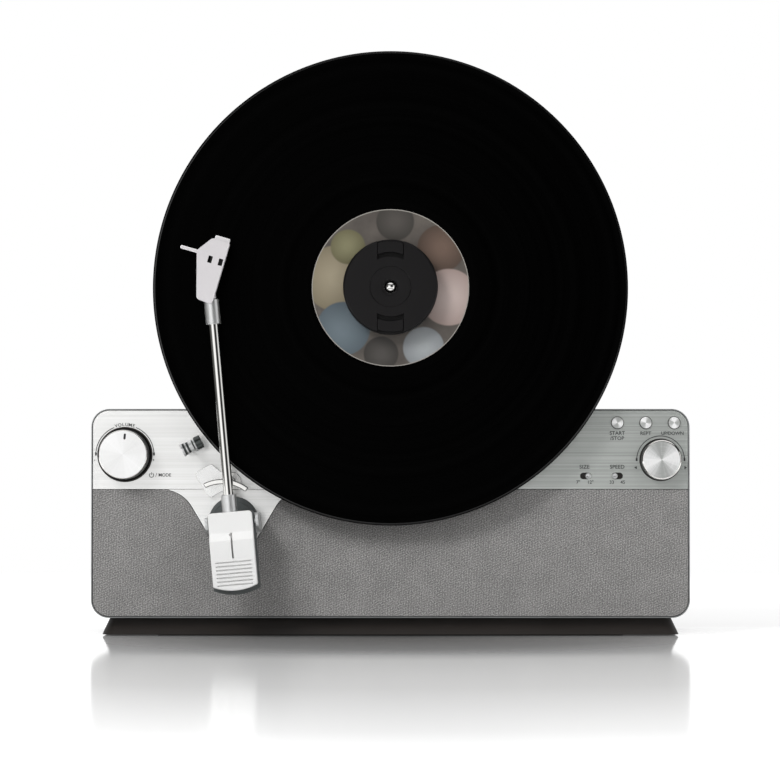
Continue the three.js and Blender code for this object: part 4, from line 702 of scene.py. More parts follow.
# %% Circuit board and ink
circuit_board, tree, place = blank("lacquered_circuit_board")
tracks = add(tree, "TexBrick", {
    "Vector": place, "Scale": 1 / (6 * MM), "Color1": colour("#1d4a33"), "Color2": colour("#184029"),
    "Mortar": colour("#2f6b4b"), "Mortar Size": 0.06})
skin = add(tree, "BsdfPrincipled", {"Base Color": tracks, "Roughness": 0.4})
add(tree, "OutputMaterial", {"Surface": skin})
grey_ink = grained("grey_screen_ink", "#1c1d1e", "#2a2b2c", 0.6, 0.3, 0.05)
black_ink = grained("black_inlay_ink", "#1d1d1e", "#2c2c2d", 0.5, 0.3, 0.05)
print("materials:", len(bpy.data.materials))

# %% [markdown]
# ## The cabinet
#
# The case is a folded and painted sheet-metal tube with rounded corners, open at the front and the
# rear. A cube gets its four long edges bevelled to the corner radius, and then the front and rear
# faces are inset and pushed in, one step for the lip and rebate and one for the wall. Pushing faces
# in keeps the wall even all round, which a scaled copy would not.

# %% Cabinet shell
shell = box("case_shell", -SIDE, BOTTOM, -DEPTH, SIDE, TOP, 0)
round_edges(shell, 11.5, 14, lambda a, b: abs(a.z - b.z) > 50)
pick("FACE", lambda middle, normal: normal.z > 0.9)
sink(0.8, -10)  # lip and rebate
sink(3.2, -87)  # wall
bpy.ops.mesh.delete(type="FACE")
pick("FACE", lambda middle, normal: normal.z < -0.9 and middle.z < 1 - DEPTH)
sink(1.6, 3)
bpy.ops.mesh.inset(thickness=2.4)
bpy.ops.mesh.delete(type="FACE")
weld(0.02)
close_up()
soften(shell, 0.35, 2)
fit(shell, "base", silver_paint, hides=["cabinet_shell"])

# %% [markdown]
# The plinth under the case is a black moulding that widens a little towards the table. It is a cube
# with bevelled upright edges whose lower face is scaled up. Two rubber strips under it carry the
# object.

# %% Plinth and feet
PLINTH_HALF = (180.6, 42)
PLINTH_MIDDLE = -50
width, depth = PLINTH_HALF
plinth = box("moulded_plinth", -width, 0.8, PLINTH_MIDDLE - depth, width, 11.45, PLINTH_MIDDLE + depth)
round_edges(plinth, 8, 10, lambda a, b: abs(a.y - b.y) > 5)
pick("FACE", lambda middle, normal: normal.y < -0.9)
bpy.ops.transform.resize(value=(185.4 / width, 1, 46.9 / depth), center_override=(0, 0, PLINTH_MIDDLE))
close_up()
soften(plinth, 0.5, 2)
fit(plinth, "base", black_abs, hides=["base_plinth"])

for end, z in (("front", -15), ("rear", -85)):
    foot = box(f"foot_strip_{end}", -150, 0, z - 4.5, 150, 2.75, z + 4.5)
    round_edges(foot, 4.4, 8, lambda a, b: abs(a.y - b.y) > 2)
    close_up()
    soften(foot, 0.4, 2)
    fit(foot, "base", matt_rubber, hides=[f"foot_{end}"])

# %% [markdown]
# ## The control panel
#
# One aluminium plate, 2 mm thick, fills the top third of the front. Its outline is drawn with its
# two upper corners rounded, the front edge is chamfered and the holes are cut through. The chamfer
# is what catches the light along the top at the right.

# %% Panel
SHEET = 2
THROUGH = (-4, 2)  # from behind the plate to in front of it
HOLES = [
    (VOLUME, 4.5), (JOG, 4.5), *(((x, BUTTON_Y), 4) for x in BUTTONS.values()), ((-102.4, 98.9), 2.3)]
panel_outline = rounded(-FRONT_SIDE, FASCIA_LOW, FRONT_SIDE, 144.3, 0, FRONT_CORNER, 14)
panel = plate("panel_plate", panel_outline, -SHEET, 0)
cut(panel, *[moved(rod(radius, *THROUGH), at(*spot)) for spot, radius in HOLES])
cut(panel, *[plate("slot", capsule(x, SWITCH_Y, 7.2, 4.2), *THROUGH) for x, side in SWITCHES.values()])
soften(panel, 0.3, 2, 60)
fit(panel, "base", brushed_aluminium, hides=["control_fascia"])

# %% [markdown]
# The arm stands on a tab of the same plate. Its sides leave the panel in wide fillets and run
# together to a round tip, so the outline is three arcs and the straight lines between them.

# %% Arm plinth
TAB_TOP, TAB_HALF, TAB_TIP = 93.8, 33.3, 10
TAPER, FILLET = 30.5, 22.5


def tab_outline(grow):
    """The tab's outline, drawn larger or smaller all round."""
    lean = math.radians(TAPER)
    reach = TAB_HALF + FILLET / math.tan((math.pi / 2 + lean) / 2)
    tip_y = TAB_TOP - (TAB_HALF - TAB_TIP / math.cos(lean)) / math.tan(lean)
    x, y = PIVOT[0], TAB_TOP - FILLET
    return [
        *arc(x - reach, y, FILLET - grow, 78, TAPER, 18),
        *arc(x, tip_y, TAB_TIP + grow, 180 + TAPER, 360 - TAPER, 24),
        *arc(x + reach, y, FILLET - grow, 180 - TAPER, 102, 18),
    ]


tab_edge = tab_outline(0)
tab_join = FASCIA_LOW - 0.12
tab_outer = [(tab_edge[0][0], tab_join), *tab_edge, (tab_edge[-1][0], tab_join)]
tab = plate("arm_tab", tab_outer, -SHEET, 0)
cut(tab, moved(rod(12.8, *THROUGH, 64), TURRET))
soften(tab, 0.3, 2, 60)
fit(tab, "base", brushed_aluminium, hides=["arm_plinth"])

# %% [markdown]
# ## The grille cloth
#
# The cloth is stretched over a ribbed frame and glued behind it. Stretched cloth lies flat, so no
# simulation is needed: what shows is the rounded edge where it turns over the frame. The outline is
# the lower part of the front less the tab, filled and raised by the cloth's thickness, and the
# front edge is rounded by nearly that much.

# %% Cloth
GRILLE_LOW = 12.8
grille = rounded(-FRONT_SIDE, GRILLE_LOW, FRONT_SIDE, TAB_TOP, FRONT_CORNER, 0, 12)
tab_gap = tab_outline(0.3)
left_part = [p for p in grille if p[0] < 0]
right_part = [p for p in grille if p[0] > 0]
around_tab = [(tab_gap[-1][0], TAB_TOP), *tab_gap[::-1], (tab_gap[0][0], TAB_TOP)]
cloth_outline = right_part + around_tab + left_part
cloth = plate("stretched_grille_cloth", cloth_outline, -1, 0)
soften(cloth, 0.7, 3, 50)
fit(cloth, "base", cloth_twill, hides=["grille_cloth"])


def outline_area(points):
    """The area inside an outline, in the square of its unit."""
    pairs = zip(points, [*points[1:], points[0]])
    return abs(sum(a[0] * b[1] - b[0] * a[1] for a, b in pairs)) / 2


cloth_area = outline_area(cloth_outline) * MM * MM
print("cloth", round(cloth_area, 5), "square metres")

# %% [markdown]
# ## The record and its label
#
# A long-playing record is thicker at its rim and under its label than in the grooved part, so a
# needle can't slide off. The profile has that bead, a smooth run-in, shallow steps between the
# tracks and the dead wax near the label, and it is spun in small steps so that its edge stays round.

# %% Record
GROOVED, PEG = 17.55, 3.85  # height of the grooved part, radius of the middle hole
tracks = []
for low, high in ((122, 145.5), (102, 121), (83, 101), (60, 82)):
    tracks += [(high, GROOVED), (high - 0.3, 17.52), (low + 0.3, 17.52), (low, GROOVED)]
record = lathe("record_disc", [
    (PEG, 16.0), (148, 16.0), (150.4, 16.35), (151, 16.75), (151, 17.15), (150.4, 17.62), (149.5, 17.9),
    (148.4, 17.8), (147.4, GROOVED), *tracks, (56, GROOVED), (51.4, GROOVED), (50.5, 17.35),
    (50.3, 17.25), (PEG, 17.25)], 224)
fit(record, "turntable", vinyl, DISC, ["record"])
middle = (FRONT @ DISC).translation
# painted highlight: the rim's faces get the lighter vinyl
dress(record, rim_vinyl_painted_highlight, lambda face: 149.2 * MM < (face.center - middle).xz.length < 150.6 * MM)

label = lathe("paper_label", [
    (PEG, 17.5), (49.9, 17.5), (50, 17.6), (50, 17.8), (49.8, 17.9), (36.2, 17.9), (35.9, 17.84),
    (35.6, 17.9), (PEG, 17.9)], 128)
fit(label, "turntable", printed_paper, DISC, ["record_label"])

# %% [markdown]
# The platter behind the record is a turned aluminium disc with a deep recess in its back and a
# rubber mat on its face. From behind, its rim, web and hub are what one sees.

# %% Platter and mat
platter = lathe("turned_platter", [
    (PEG, 5.05), (13.4, 5.05), (14, 5.6), (14, 8.55), (38, 8.55), (38.6, 8.0), (41.4, 8.0), (42, 8.55),
    (78.4, 8.55), (79, 8.0), (79, 5.6), (79.6, 5.05), (84.4, 5.05), (85, 5.65), (85, 13.75),
    (84.4, 14.35), (PEG, 14.35)], 160)
fit(platter, "turntable", platter_metal, DISC, ["platter"])
mat = lathe("rubber_mat", [
    (PEG, 14.475), (83.6, 14.475), (84, 14.9), (84, 15.5), (83.6, 15.875), (PEG, 15.875)], 128)
fit(mat, "turntable", matt_rubber, DISC, ["platter_mat"])

# %% [markdown]
# ## The clamp
#
# A black puck presses the record on. Its rim is bevelled, a shallow round step surrounds the
# spindle, and two sprung latches slide in pockets at the top and the bottom. The pockets are cut
# into the turned body.

# %% Clamp body
POCKET_HALF, POCKET_RADIUS = 8.45, 18.9


def half_turn(half, radius):
    """The angle from the middle of an arc to its end, half a chord away."""
    return math.degrees(math.asin(half / radius))


puck = lathe("clamp_puck", [
    (PEG, 18.15), (29.6, 18.15), (30, 18.6), (30, 29.4), (29.8, 29.9), (28.9, 30.75), (28.5, 30.95),
    (13.5, 30.95), (13.2, 30.85), (12.65, 30.15), (6.2, 30.15), (5.3, 29.7), (PEG, 28.7)], 112)
for side in (1, -1):
    swing = half_turn(POCKET_HALF, POCKET_RADIUS)
    inner = arc(0, 0, POCKET_RADIUS, side * 90 + swing, side * 90 - swing)
    corners = [(side * POCKET_HALF, side * 31), (-side * POCKET_HALF, side * 31)]
    cut(puck, plate("pocket", [*inner, *corners], 26.45, 33))
soften(puck, 0.25, 2, 50)
fit(puck, "clamp", clamp_abs, DISC, ["clamp_body"])

# %% [markdown]
# Each latch is a block cut to the body's curve, made once and copied. The second one is turned half
# round.

# %% Latches
LATCH_HALF = 8.15
inner_turn, outer_turn = half_turn(LATCH_HALF, 21.8), half_turn(LATCH_HALF, 28.5)
latch = plate("latch_one", [
    *arc(0, 0, 21.8, 90 + inner_turn, 90 - inner_turn),
    *arc(0, 0, 28.5, 90 - outer_turn, 90 + outer_turn)], 26.75, 30.65)
soften(latch, 0.35, 2, 35)
other = copy_of(latch, "latch_two")
fit(latch, "latch_top", clamp_abs, DISC, ["clamp_latch_top"])
fit(other, "latch_bottom", clamp_abs, DISC @ at(0, 0, 0, 180), ["clamp_latch_bottom"])

# %% [markdown]
# The spindle's tip shows as a bright bead in the middle. The whole spindle is one turned pin.

# %% Spindle
tip = arc(0, 27.4, 3.55, 0, 90, 14)
spindle = lathe("spindle_pin", [
    (0, -40.75), (3.3, -40.75), (3.55, -40.5), (3.55, 0), (7.7, 0), (8, 0.3), (8, 4.5), (7.7, 4.8),
    (3.55, 4.8), *tip], 48)
fit(spindle, "turntable", chrome, DISC, ["spindle"])

# %% [markdown]
# ## Knobs, buttons and switches
#
# The knobs are turned from aluminium bar: a bright cap with a fine chamfer round its flat face, on a
# skirt that is black as painted shade for its side wall. The volume knob has a filled slot as its
# pointer. A thin black ring on the panel under each one is painted shade round its foot. The fine
# chamfers matter more than anything here, because each shows as a thin bright or dark ring round the face.

# %% Volume knob
POINTER_TURN = -6
# painted shade: the skirt is black so that the knob's side wall reads dark
skirt = lathe("volume_skirt", [
    (0, 9.25), (3.3, 9.25), (3.3, 1.8), (16.5, 1.8), (16.8, 2.1), (16.8, 2.5), (16.3, 3.0), (15.95, 3.6),
    (15.75, 14.1), (15.55, 14.4), (0, 14.4), (0, 9.25)], 128)
fit(skirt, "volume_knob", painted_shade_black_metal, at(*VOLUME), ["volume_knob"])
volume = lathe("volume_cap", [
    (0, 14.2), (15.5, 14.2), (15.5, 14.5), (15.25, 14.85), (14.9, 15.0), (0, 15.0)], 128)
mark = [(-y, x) for x, y in capsule(11.4, 0, 3.8, 1.4)]
cut(volume, moved(plate("slot", mark, 14.5, 16), at(0, 0, 0, POINTER_TURN)))
edge(fit(volume, "volume_knob", volume_face, at(*VOLUME)), chrome)
pointer = plate("volume_pointer", mark, 14.45, 14.8)
fit(pointer, "volume_knob", black_ink, at(*VOLUME, 0, POINTER_TURN))
# painted shade: a thin black ring on the panel round the knob's foot
painted_shade_ring = lathe("volume_painted_shade_ring", [(9, 0.03), (17.7, 0.03), (17.7, 0.14), (17.6, 0.2), (9, 0.2)], 112)
fit(painted_shade_ring, "base", black_abs, at(*VOLUME))

# %% [markdown]
# The jog knob is the same sort of turning, smaller and lower, with no pointer because it has no end
# stops.

# %% Jog knob
# painted shade: the skirt is black so that the knob's side wall reads dark
skirt = lathe("jog_skirt", [
    (0, 3.05), (3.3, 3.05), (3.3, 0.65), (12.7, 0.65), (13, 0.9), (13, 1.3), (12.8, 1.9), (12.75, 7.7),
    (12.6, 8.0), (0, 8.0), (0, 3.05)], 112)
fit(skirt, "jog", painted_shade_black_metal, at(*JOG), ["jog_knob"])
jog = lathe("jog_cap", [(0, 7.8), (12.55, 7.8), (12.55, 8.1), (12.1, 8.6), (11.6, 8.8), (0, 8.8)], 112)
edge(fit(jog, "jog", jog_face, at(*JOG)), chrome)
# painted shade: a thin black ring on the panel round the knob's foot
painted_shade_ring = lathe("jog_painted_shade_ring", [(9, 0.03), (13.6, 0.03), (13.6, 0.4), (13.4, 0.55), (9, 0.55)], 112)
fit(painted_shade_ring, "base", black_abs, at(*JOG))

# %% [markdown]
# The three buttons are one turned cap with a flange that keeps it behind the panel, copied twice.

# %% Buttons
cap = lathe("button_cap", [
    (0, -11.05), (2, -11.05), (2, -3.3), (4.7, -3.3), (4.7, -2.3), (3.7, -2.3), (3.7, 0.95), (3.62, 1.2),
    (3.35, 1.4), (0, 1.4)], 64)
for name, x in BUTTONS.items():
    spot, button = at(x, BUTTON_Y), f"{name}_button"
    fit(copy_of(cap, f"{name}_cap"), button, button_faces[name], spot, [button])
    # painted shade: a thin black ring on the panel round each button
    painted_shade_ring = lathe(f"{name}_seat", [(3.75, 0.02), (4.1, 0.02), (4.1, 0.2), (4.0, 0.25), (3.75, 0.25)], 64)
    fit(painted_shade_ring, "base", black_abs, spot)
bpy.data.objects.remove(cap)

# %% [markdown]
# The slide switches have a small round nub, dished for a fingertip, on a black shutter that fills
# the slot. Both stand at one end of their travel, to the right for the size and to the left for the
# speed.

# %% Slide switches
nub = lathe("nub", [
    (0, -3), (1.8, -3), (1.8, 0.3), (1.6, 0.55), (1.35, 0.6), (1.1, 0.5), (0.9, 0.2), (0.5, 0.05),
    (0, 0.0)], 40)
shutter = box("shutter", -6.2, -3.1, -3.5, 6.2, 3.1, -2.3)
cut(shutter, rod(1.85, -4, -2, 32))
soften(shutter, 0.2, 2)
for name, (x, side) in SWITCHES.items():
    stop, slider = at(x + side * 1.6, SWITCH_Y), f"{name}_slider"
    fit(copy_of(nub, f"{name}_nub"), slider, satin_aluminium, stop, [slider])
    fit(copy_of(shutter, f"{name}_shutter"), slider, black_abs, stop)
bpy.data.objects.remove(nub)
bpy.data.objects.remove(shutter)

# %% [markdown]
# ## The tower
#
# The tower behind the record is a moulded cover in two halves, a straight foot that runs into a
# round head. Its outline is the foot's two corners and the arc whose ends are tangent to the sides.

# %% Tower covers
TOWER = (60, 145.65, RECORD_Y, 44)  # half the foot's width, its height, the head's middle and radius
WALL = 2.5


def tongue(half, foot, centre_y, radius, steps=40):
    """A straight foot and a round head, joined by tangent sides."""
    away = math.hypot(half, foot - centre_y)
    towards = math.degrees(math.atan2(foot - centre_y, half))
    start = towards + math.degrees(math.acos(radius / away))
    return [(-half, foot), (half, foot), *arc(0, centre_y, radius, start, 180 - start, steps)]


half, foot_y, head_y, radius = TOWER
rear_cover = plate("tower_rear_moulding", tongue(*TOWER), -47, -4.25)
hollow = tongue(half - WALL, foot_y + WALL, head_y, radius - WALL)
cut(rear_cover, plate("hollow", hollow, WALL - 47, -2))
round_edges(rear_cover, 2.2, 5, lambda a, b: a.z < -46.9 and b.z < -46.9)
close_up()
fit(rear_cover, "base", silver_paint, hides=["tower_rear_cover"])
front_cover = plate("tower_front_moulding", tongue(*TOWER), -4, -1)
cut(front_cover, moved(rod(14.3, -6, 2, 64), DISC))
soften(front_cover, 0.4, 2)
fit(front_cover, "base", silver_paint, hides=["tower_front_cover"])

# %% [markdown]
# ## The pick-up arm
#
# The arm is drawn along its straight tube. The tube and the two collars are turned. The collars are
# hollow where the tube goes in, and their ends are chamfered.

# %% Tube and collars
tube = lathe("arm_tube_chrome", [(2.4, 8), (3.1, 8), (3.1, 130), (2.4, 130)], 48)
fit(tube, "arm", chrome, ARM @ ALONG_Y, ["arm_tube"])
collar = lathe("collar_at_block", [
    (0, 5), (4.5, 5), (4.7, 5.2), (4.7, 17.2), (4.35, 17.6), (3.4, 17.6), (3.4, 7.75), (0, 7.75)], 64)
fit(collar, "arm", satin_aluminium, ARM @ ALONG_Y, ["tail_collar"])
collar = lathe("collar_at_head", [
    (0, 130.25), (3.4, 130.25), (3.4, 125.2), (4.4, 125.2), (4.75, 125.55), (4.75, 140.6), (4.4, 141),
    (2.8, 141), (2.8, 132.75), (0, 132.75)], 64)
fit(collar, "arm", satin_aluminium, ARM @ ALONG_Y, ["front_collar"])

# %% [markdown]
# The counterweight block is a side profile with a step and a slope, trimmed by its front outline
# with a Boolean intersection, which gives both views at once. Its grip lines and its adjusting slit
# are cut in last. Under the pale block lies a body that is a little wider, coloured dark grey as
# painted shade for the block's lower edge.

# %% Counterweight block
BLOCK_HALF, BLOCK_TAIL, BOW = 14, 42.4, 3
tail_radius = (BLOCK_HALF ** 2 + BOW ** 2) / (2 * BOW)
side_profile = [
    (-44, 1.5), (6.8, 1.5), (6.8, 5.5), (-5.4, 5.5), (-6.2, 5.7), (-10.6, 9.8), (-11.4, 10), (-44, 10)]
block = slab("weight_block", [(-15, y, z) for y, z in side_profile], (30, 0, 0))


def block_outline(half, tail):
    """The block's outline from the front, with its bowed tail."""
    sweep = math.degrees(math.asin(half / tail_radius))
    return [
        *arc(0, tail_radius - tail, tail_radius, -90 - sweep, -90 + sweep, 24),
        *arc(half - 2.5, 4.3, 2.5, 0, 90, 8),
        *arc(2.5 - half, 4.3, 2.5, 90, 180, 8),
    ]


def bore(piece):
    """Takes the room of the tube and of the axle out of a piece of the block."""
    cut(piece, moved(rod(5, 4.75, 20), ALONG_Y), moved(rod(1.8, -17, 17, 32), ALONG_X))


cut(block, plate("trim", block_outline(BLOCK_HALF, BLOCK_TAIL), -10, 12), how="INTERSECT")
soften(block, 0.8, 4, 35)
grip = box("grip", -11.25, -0.45, 8.4, 11.25, 0.45, 12)
round_edges(grip, 0.42, 4, lambda a, b: abs(a.z - b.z) > 2)
close_up()
cut(block, *[moved(copy_of(grip, "grip_line"), at(0, -24.4 - 14.3 * i / 6)) for i in range(7)])
bpy.data.objects.remove(grip)
cut(block, box("slit", -0.55, -22.2, 4, 0.55, -6.2, 12))
cut(block, moved(rod(0.8, 4, 12, 24), at(-0.7, -7.4)))
bore(block)
fit(block, "arm", silver_lacquer, ARM, ["counterweight_housing"])
# painted shade: the under body is grey, darker than the block on it
under = moved(plate("weight_under_body", block_outline(14.5, 45.3), -8, 2.5), at(0.35, 0))
bore(under)
soften(under, 0.6, 3, 35)
fit(under, "arm", painted_shade_grey_abs, ARM)

# %% [markdown]
# The yoke is a bar with two ears that carry the arm's axle. It turns with the arm on a dark flange.

# %% Yoke, axle and turret
EAR_TOP, EAR_THICK = AXLE_OUT, 1.8
ears = []
for x in (-16.1, 15.7):
    side = tongue(5.5, 4, EAR_TOP, 4.4, 16)
    leaning = [(x, a - 2.7 * (EAR_TOP - b) / (EAR_TOP - 4), b) for a, b in side]
    ears.append(soften(slab("ear", leaning, (EAR_THICK, 0, 0)), 0.3, 2))
for ear in ears:
    cut(ear, moved(rod(1.7, -18, 18, 32), at(0, 0, AXLE_OUT) @ ALONG_X))
yoke = soften(box("yoke_bar", -16.1, -8.2, 4, 17.5, 4.8, 8), 0.5, 3)
join(yoke, *ears, rod(4, -35.3, 4.5, 40))
fit(yoke, "yoke", cast_zinc, SWING, ["arm_yoke"])
axle = lathe("axle_pin", [(0, -16.1), (1.3, -16.1), (1.5, -15.9), (1.5, 17.3), (1.3, 17.5), (0, 17.5)], 32)
fit(axle, "yoke", satin_aluminium, ARM @ ALONG_X, ["pivot_axle"])
turret = lathe("turret_flange", [
    (4.3, -30), (7.2, -30), (7.5, -29.7), (7.5, -17), (12.5, -17), (12.5, 0.25), (15.7, 0.25), (16, 0.55),
    (16, 2.2), (15.85, 2.6), (15.4, 3.0), (13.6, 3.0), (13.4, 2.75), (13.2, 2.75), (13, 3.0), (4.7, 3.0),
    (4.3, 2.7)], 112)
fit(turret, "base", turret_abs, TURRET, ["arm_bearing_housing"])

# %% [markdown]
# The headshell is a thin moulded cover. Its outline is drawn with small round corners, raised, and
# hollowed from behind; its two windows show the dark cartridge. A bar at the side lifts it by hand.
# The block that grips the collar is drawn on the arm's own line and carried back by the inverse of
# the headshell's place.

# %% Headshell
def blunted(points, corner, steps=5):
    """Rounds each corner of an outline."""
    outline = []
    for before, here, after in zip([points[-1], *points], points, [*points[1:], points[0]]):
        here, ways = Vector(here), []
        for end in (before, after):
            way = Vector(end) - here
            ways.append(way.normalized() * min(corner, way.length / 3))
        start, end = here + ways[0], here + ways[1]
        for i in range(steps + 1):
            t = i / steps
            outline.append(tuple(start * (1 - t) ** 2 + here * 2 * t * (1 - t) + end * t ** 2))
    return outline


ARM_LINE = HEAD_ON_ARM.inverted()
outer = [(-0.3, -1.3), (0, 38), (-11.4, 38), (-18.4, 28.4), (-18.4, 26.3), (-10.6, -1.4), (-2.7, -2.3)]
inner = [(-1.4, 1.4), (-1.4, 36.6), (-10.8, 36.6), (-17, 28), (-17, 26.5), (-9.7, 0.5), (-3, 0.5)]
head = plate("headshell_cover", blunted(outer, 1.6), 1, 7)
cut(head, plate("hollow", blunted(inner, 1.0), -1, 5.6))
cut(head, moved(rod(5.05, 125, 141.3), ARM_LINE @ ALONG_Y))
soften(head, 0.45, 3, 35)
for x in (-2.4, -9.2):
    cut(head, box("window", x - 1.35, 22.4, 0, x + 1.35, 26.8, 9))
lip = soften(box("lip", -10, 37.2, 4.8, -0.4, 40.3, 7), 0.7, 3)
finger_bar = soften(box("finger_bar", -29.3, 26.2, 5, -17, 28.4, 6.6), 0.75, 4)
tang = lathe("tang", [(0, 133), (2.3, 133), (2.5, 133.2), (2.5, 142.5), (0, 142.5)], 32)
heel = moved(box("heel", -2.9, 141.3, -2.9, 2.9, 146.1, 6.3), ARM_LINE)
join(head, lip, finger_bar, moved(tang, ARM_LINE @ ALONG_Y), heel)
# painted highlight: the headshell's bevelled edges get pale ABS
edge(fit(head, "arm", headshell_abs, ARM @ HEAD_ON_ARM, ["headshell"]), painted_highlight_edge)

# %% [markdown]
# ## Arm rest and lifter
#
# The rest is a short turned spool across the parked tube: satin bands with grooves between them that
# are dark as painted shade, and a darker right end. One table holds its bands, and both the profile
# and the choice of finish are read from it.

# %% Arm rest
PARK, REACH = 26.5, 54.5  # the parked arm's angle, and how far along it the rest stands
REST_OUT = 24.3
park = math.radians(PARK)
rest_place = at(PIVOT[0] - REACH * math.sin(park) - 0.9, PIVOT[1] + REACH * math.cos(park) - 0.4, 0, PARK)
BANDS = [  # from, to, radius, dark
    (-6.85, -5.35, 4.3, 0), (-5.35, -4.05, 3.9, 1), (-4.05, -2.95, 4.1, 0), (-2.95, -1.75, 3.6, 1),
    (-1.75, 0.85, 3.6, 0), (0.85, 1.65, 3.3, 1), (1.65, 2.75, 3.8, 0), (2.75, 6.85, 4.3, 1)]
profile = [(0, BANDS[0][0])]
for start, end, radius, dark in BANDS:
    profile += [(radius - 0.2, start), (radius, start + 0.2), (radius, end - 0.2), (radius - 0.2, end)]
spool = lathe("rest_spool", [*profile, (0, BANDS[-1][1])], 64)
moved(spool, at(0, 0, REST_OUT) @ ALONG_X)
post = lathe("rest_post", [
    (0, 0.25), (3.6, 0.25), (3.6, 0.9), (3.2, 1.3), (3, 1.8), (3, REST_OUT), (0, REST_OUT)], 40)
join(spool, post)
fit(spool, "base", satin_aluminium, rest_place, ["arm_rest"])
back = (FRONT @ rest_place).inverted()


def painted_shade_band(face):
    """Whether a face of the spool lies on one of its dark bands, which are the painted shade in its grooves
    and its darker right end.
    """
    spot = back @ face.center
    return spot.z > 17 and any(start < spot.x < end for start, end, radius, dark in BANDS if dark)


# painted shade: the grooves and the right end get dark nickel
dress(spool, painted_shade_nickel, painted_shade_band)

# %% [markdown]
# The lifter is a curved chrome bar on a post, in front of a pale guide plate. The plate's outline
# follows the turret on one side, and a bush in it guides the post. The bevelled edges of plate and
# bar are darkened as painted shade, and the plate's edges that face up and right are black as a
# painted shadow.

# %% Lifter and its guide
LIFTER = at(-2.1, 25.7)
guide_corners = [(-14.4, 37.1), (-23.9, 31.3), (-23.2, 27.6), (-16.2, 16.4)]
guide_end = [(5, 27), (1.5, 31.5), (-7.8, 31.6)]
guide_outline = blunted([*guide_corners, *arc(0, 0, 20.8, 132, 78, 16), *guide_end], 1.6)
guide = soften(plate("lifter_guide_plate", guide_outline, 0.25, 2.85), 0.6, 3, 35)
bush = lathe("bush", [(2.3, 0.5), (3.3, 0.5), (3.3, 9.9), (3.0, 10.25), (2.3, 10.25)], 40)
cut(guide, moved(rod(3.2, -1, 4, 40), LIFTER))
join(guide, moved(bush, LIFTER))
fit(guide, "base", blasted_aluminium, TURRET, ["lifter_guide"])
# painted shade: grey on the plate's bevelled edges, and black on those that face up and right as a painted
# shadow
edge(guide, painted_shade_grey_abs, 0.05, 0.93)
dress(guide, black_abs, lambda face: (
    0.05 < -face.normal.y < 0.93 and face.normal.x > 0.15 and face.normal.z > 0.15))
bar_outline = arc(-5.5, 0.6, 26.8, 52.5, 117, 28) + arc(-5.5, 0.6, 23.6, 117, 52.5, 28)
bar = soften(plate("lifter_arc", bar_outline, 26, 29.6), 0.7, 3, 50)
join(bar, moved(rod(2, -24, 27, 32), LIFTER))
# painted shade: dark nickel on the bar's bevelled edges
edge(fit(bar, "lifter_bar", chrome, TURRET, ["lifter_bar"]), painted_shade_nickel, 0.05, 0.9)

# %% [markdown]
# ## Printed legends
#
# The words and signs on the panel are screen printed in dark grey, two millimetres high. Text
# objects are the natural way, turned into meshes so that they export. Words that follow a curve are
# set letter by letter. The arcs round the knobs are thin rings with thicker ends.

# %% Legend helpers
INK, INK_HALF = 0.04, 0.02  # height over the panel and half the ink's thickness


def ink(name, *parts):
    """Joins printed parts and puts them on the panel."""
    piece = join(*parts)
    piece.name = name
    return fit(piece, "base", grey_ink)


def words(text, x, y, height, turn=0.0, spread=1.0):
    """A line of text centred at a place, as a thin mesh on the panel."""
    bpy.ops.object.select_all(action="DESELECT")
    bpy.ops.object.text_add()
    line = bpy.context.object
    line.data.body = text
    line.data.align_x = "CENTER"
    line.data.align_y = "CENTER"
    line.data.size = height * 1.4
    line.data.space_character = spread
    line.data.extrude = INK_HALF
    line.data.offset = 0.045
    line.data.resolution_u = 3
    bpy.ops.object.convert(target="MESH")
    return moved(line, at(x, y, INK, turn))


def printed(outline):
    """A flat printed shape."""
    return plate("print", outline, INK - INK_HALF, INK + INK_HALF)


def ring_arc(x, y, radius, start, end, width=0.5):
    """A thin line along an arc."""
    outer = arc(x, y, radius + width / 2, start, end, 40)
    return printed(outer + arc(x, y, radius - width / 2, end, start, 40))


print("ink stands", INK, "mm over the panel")

# %% [markdown]
# The legends are rows of a table: the word, where it stands and how high it is. Each group becomes
# one piece.

# %% Legends
vx, vy = VOLUME
letters = []
for i, letter in enumerate("VOLUME"):
    angle = 90 - (i - 2.5) * 6.8
    x, y = arc(vx, vy, 19.1, angle, angle, 1)[0]
    letters.append(words(letter, x, y, 2.15, angle - 90))
ink("legend_volume", *letters)
ink("arc_volume", *[ring_arc(vx, vy, 18.6, *row) for row in (
    (112, 180), (0, 68), (176, 182, 1.1), (-2, 4, 1.1))])
jx, jy = JOG
arcs = [ring_arc(jx, jy, 15.3, *row) for row in ((0, 180), (176, 183, 1.1), (-3, 4, 1.1))]
marks = [printed([(jx + side * 17.0, jy - 5.0), (jx + side * 15.2, jy - 6.0), (jx + side * 15.2, jy - 4.0)])
         for side in (-1, 1)]
ink("arc_jog", *arcs, *marks)
ink("legend_controls", *[words(*row) for row in (
    ("START", 145.3, 129.8, 2.4), ("/STOP", 145.2, 126.5, 2.4), ("REPT", 163.5, 129.7, 2.3),
    ("UP/DOWN", 180.6, 129.7, 2.2, 0, 0.95), ("SIZE", 124.2, 108.2, 2.5), ("SPEED", 145.2, 108.2, 2.5),
    ('7"', 120.2, 98.4, 2.2), ('12"', 128.0, 98.4, 2.2), ("33", 141.7, 98.4, 2.2),
    ("45", 148.8, 98.4, 2.2))])

# %% [markdown]
# By the volume knob stand the usual ring-and-stroke sign for power, a word beside it, and a minus
# and a plus at the ends of the knob's arc.

